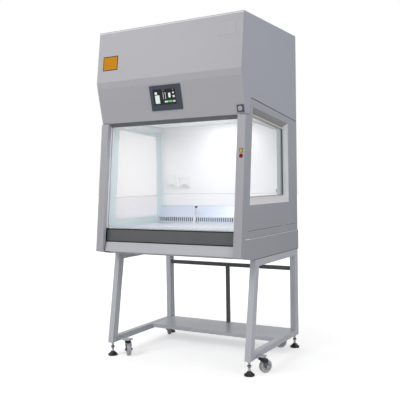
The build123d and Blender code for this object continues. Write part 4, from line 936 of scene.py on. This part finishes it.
class CABINET_OT_castors(bpy.types.Operator):
    """Forks, wheels and their bolts"""
    bl_idname = "cabinet.castors"
    bl_label = "Castors"

    def execute(self, context):
        dress(moulded("race_skin", (0.020, 0.020, 0.022), 0.35), "castor_heads")
        fork = self.fork_finish()
        tyre = moulded("tyre_skin", (0.46, 0.465, 0.48), 0.45, 500.0, 0.15)
        rim = moulded("rim_skin", (0.74, 0.75, 0.77), 0.3, 900.0, 0.05)
        hub = moulded("hub_skin", (0.10, 0.10, 0.105), 0.35)
        zinc = plated("bolt_zinc", (0.62, 0.62, 0.64), 0.22)
        for corner in CORNERS:
            dress(fork, f"castor_fork_{corner}")
            dress(tyre, f"castor_wheel_{corner}")
            low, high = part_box(f"castor_wheel_{corner}")
            spin = [j for j in frame["joints"] if j["name"] == f"wheel_{corner}_spin"][0]
            axle = Vector(spin["axis"]).normalized()
            up = Vector((0, 0, 1))
            matrix = face_matrix((low + high) / 2, up.cross(axle), up)
            self.rim_piece(corner, matrix, rim, hub)
            self.bolt_piece(corner, matrix, zinc)
        return {"FINISHED"}

    def fork_finish(self):
        """Black crown over dark plated cheeks."""
        finish, place = new_finish("fork_skin")
        _, _, z = layout_axes(place)
        wear = noise(place, 90.0, 4.0)
        crown = z > 61.0
        shade = place.mix(wear, (0.13, 0.13, 0.145, 1.0), (0.24, 0.24, 0.26, 1.0))
        shade = place.mix(crown, shade, (0.02, 0.02, 0.022, 1.0))
        close_finish(
            place, Base_Color=shade, Metallic=1.0 - crown, Roughness=wear * 0.2 + 0.2,
        )
        return finish

    def rim_piece(self, corner, matrix, rim, hub):
        """Light rim ring, ribs and a dark hub cap on each side of the wheel."""
        ring = [(26.8, 6.4), (30.6, 6.4), (30.6, 12.9), (28.8, 13.1), (26.8, 12.2)]
        cap = [(6.0, 6.4), (11.6, 6.4), (11.6, 13.6), (10.6, 14.4), (6.0, 14.4)]
        rib_radius, rib_foot = 0.0195, 0.0062
        bm = bmesh.new()
        for side in (-1, 1):
            turned(bm, [(r, side * h) for r, h in ring], matrix, 40)
            for i in range(6):
                spoke = Matrix.Rotation(math.radians(60 * i + 15), 4, "Z")
                lift = Matrix.Translation((rib_radius, 0, side * rib_foot))
                if side < 0:
                    lift = lift @ Matrix.Rotation(math.pi, 4, "X")
                box_mesh(bm, matrix @ spoke @ lift, 15.4, 2.6, 4.2, 0.4)
            before = set(bm.faces)
            turned(bm, [(r, side * h) for r, h in cap], matrix, 24)
            tint_since(bm, before, 1)
        make_piece(
            f"wheel_rim_{corner}", bm, f"wheel_{corner}", [rim, hub], smooth=True
        )

    def bolt_piece(self, corner, matrix, zinc):
        """Hexagon head and nut on the axle."""
        radius, depth, from_middle = 0.0066, 0.004, 0.0243
        bm = bmesh.new()
        for side in (-1, 1):
            made = bmesh.ops.create_cone(
                bm, cap_ends=True, segments=6, radius1=radius, radius2=radius, depth=depth
            )["verts"]
            place = matrix @ Matrix.Translation((0, 0, side * from_middle))
            bmesh.ops.transform(bm, matrix=place, verts=rounded(bm, made, 0.5))
        make_piece(f"axle_nuts_{corner}", bm, f"castor_{corner}", [zinc])


class CABINET_OT_feet(bpy.types.Operator):
    """Levelling feet with their threads and rings"""
    bl_idname = "cabinet.feet"
    bl_label = "Levelling feet"

    def execute(self, context):
        pitch = context.scene.cabinet_sizes.thread_pitch * 1000
        dress(self.foot_finish(), *[f"foot_{c}" for c in CORNERS])
        dress(plated("nut_zinc", (0.70, 0.70, 0.72), 0.25), "lock_nuts")
        zinc = plated("thread_zinc", (0.58, 0.58, 0.60), 0.25)
        for corner in CORNERS:
            bm = bmesh.new()
            low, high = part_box(f"foot_{corner}")
            place = Matrix.Translation(((low.x + high.x) / 2, (low.y + high.y) / 2, 0))
            turned(bm, [(6.1, 60.6), (6.1, 74.8), (6.35, 74.8), (6.35, 60.6)], place, 24)
            self.thread(bm, place, pitch, 61.2, 74.2)
            ring = [(11.2, 51.5), (11.9, 52.0), (12.1, 53.8), (11.9, 55.6), (11.2, 56.1)]
            turned(bm, ring, place, 32)
            make_piece(
                f"foot_thread_{corner}", bm, f"levelling_foot_{corner}", [zinc],
                smooth=True,
            )
        return {"FINISHED"}

    def foot_finish(self):
        """Black pad and collar on a plated stem."""
        finish, place = new_finish("foot_skin")
        _, _, z = layout_axes(place)
        stem = abs(z - 37.5) < 9.0
        wear = noise(place, 90.0, 4.0)
        bright = place.mix(wear, (0.50, 0.50, 0.52, 1.0), (0.72, 0.72, 0.74, 1.0))
        shade = place.mix(stem, (0.014, 0.014, 0.015, 1.0), bright)
        close_finish(place, Base_Color=shade, Metallic=stem, Roughness=wear * 0.15 + 0.25)
        return finish

    def thread(self, bm, place, pitch, low, high):
        """Raised helix round the stem."""
        turns = (high - low) / pitch
        steps = int(turns * 20)
        ridge = ((6.3, 0), (6.9, pitch * 0.3), (6.3, pitch * 0.6))
        ring = [bm.verts.new((r / 1000, 0, (low + h) / 1000)) for r, h in ridge]
        edges = [bm.edges.new(pair) for pair in zip(ring, ring[1:] + ring[:1])]
        start = bm.faces.new(ring)
        out = bmesh.ops.spin(
            bm, geom=ring + edges, axis=(0, 0, 1), cent=(0, 0, 0), angle=2 * math.pi * turns,
            dvec=(0, 0, (high - low) / 1000 / steps), steps=steps,
        )
        last = [v for v in out["geom_last"] if isinstance(v, bmesh.types.BMVert)]
        bm.faces.new(last)
        bmesh.ops.transform(bm, matrix=place, verts=joined_to(list(start.verts) + last))


OPERATORS = [
    CABINET_OT_stage, CABINET_OT_panels, CABINET_OT_chamber, CABINET_OT_glazing,
    CABINET_OT_front_rest, CABINET_OT_controls, CABINET_OT_plates, CABINET_OT_fittings,
    CABINET_OT_machinery, CABINET_OT_screws, CABINET_OT_castors, CABINET_OT_feet,
]


class CABINET_PT_finishes(bpy.types.Panel):
    """Finishes and fittings of the cabinet"""
    bl_idname = "CABINET_PT_finishes"
    bl_label = "Cabinet"
    bl_space_type = "VIEW_3D"
    bl_region_type = "UI"
    bl_category = "Cabinet"

    def draw(self, context):
        layout = self.layout
        for group in (context.scene.cabinet_colours, context.scene.cabinet_sizes):
            box = layout.box()
            for name in group.__annotations__:
                box.prop(group, name)
        for operator in OPERATORS:
            layout.operator(operator.bl_idname)


CLASSES = [CabinetColours, CabinetSizes, *OPERATORS, CABINET_PT_finishes]


def register():
    for cls in CLASSES:
        bpy.utils.register_class(cls)
    bpy.types.Scene.cabinet_colours = bpy.props.PointerProperty(type=CabinetColours)
    bpy.types.Scene.cabinet_sizes = bpy.props.PointerProperty(type=CabinetSizes)


def unregister():
    del bpy.types.Scene.cabinet_sizes
    del bpy.types.Scene.cabinet_colours
    for cls in reversed(CLASSES):
        bpy.utils.unregister_class(cls)


def main():
    register()
    for operator in OPERATORS:
        group, name = operator.bl_idname.split(".")
        getattr(getattr(bpy.ops, group), name)()


if __name__ == "__main__":
    main()
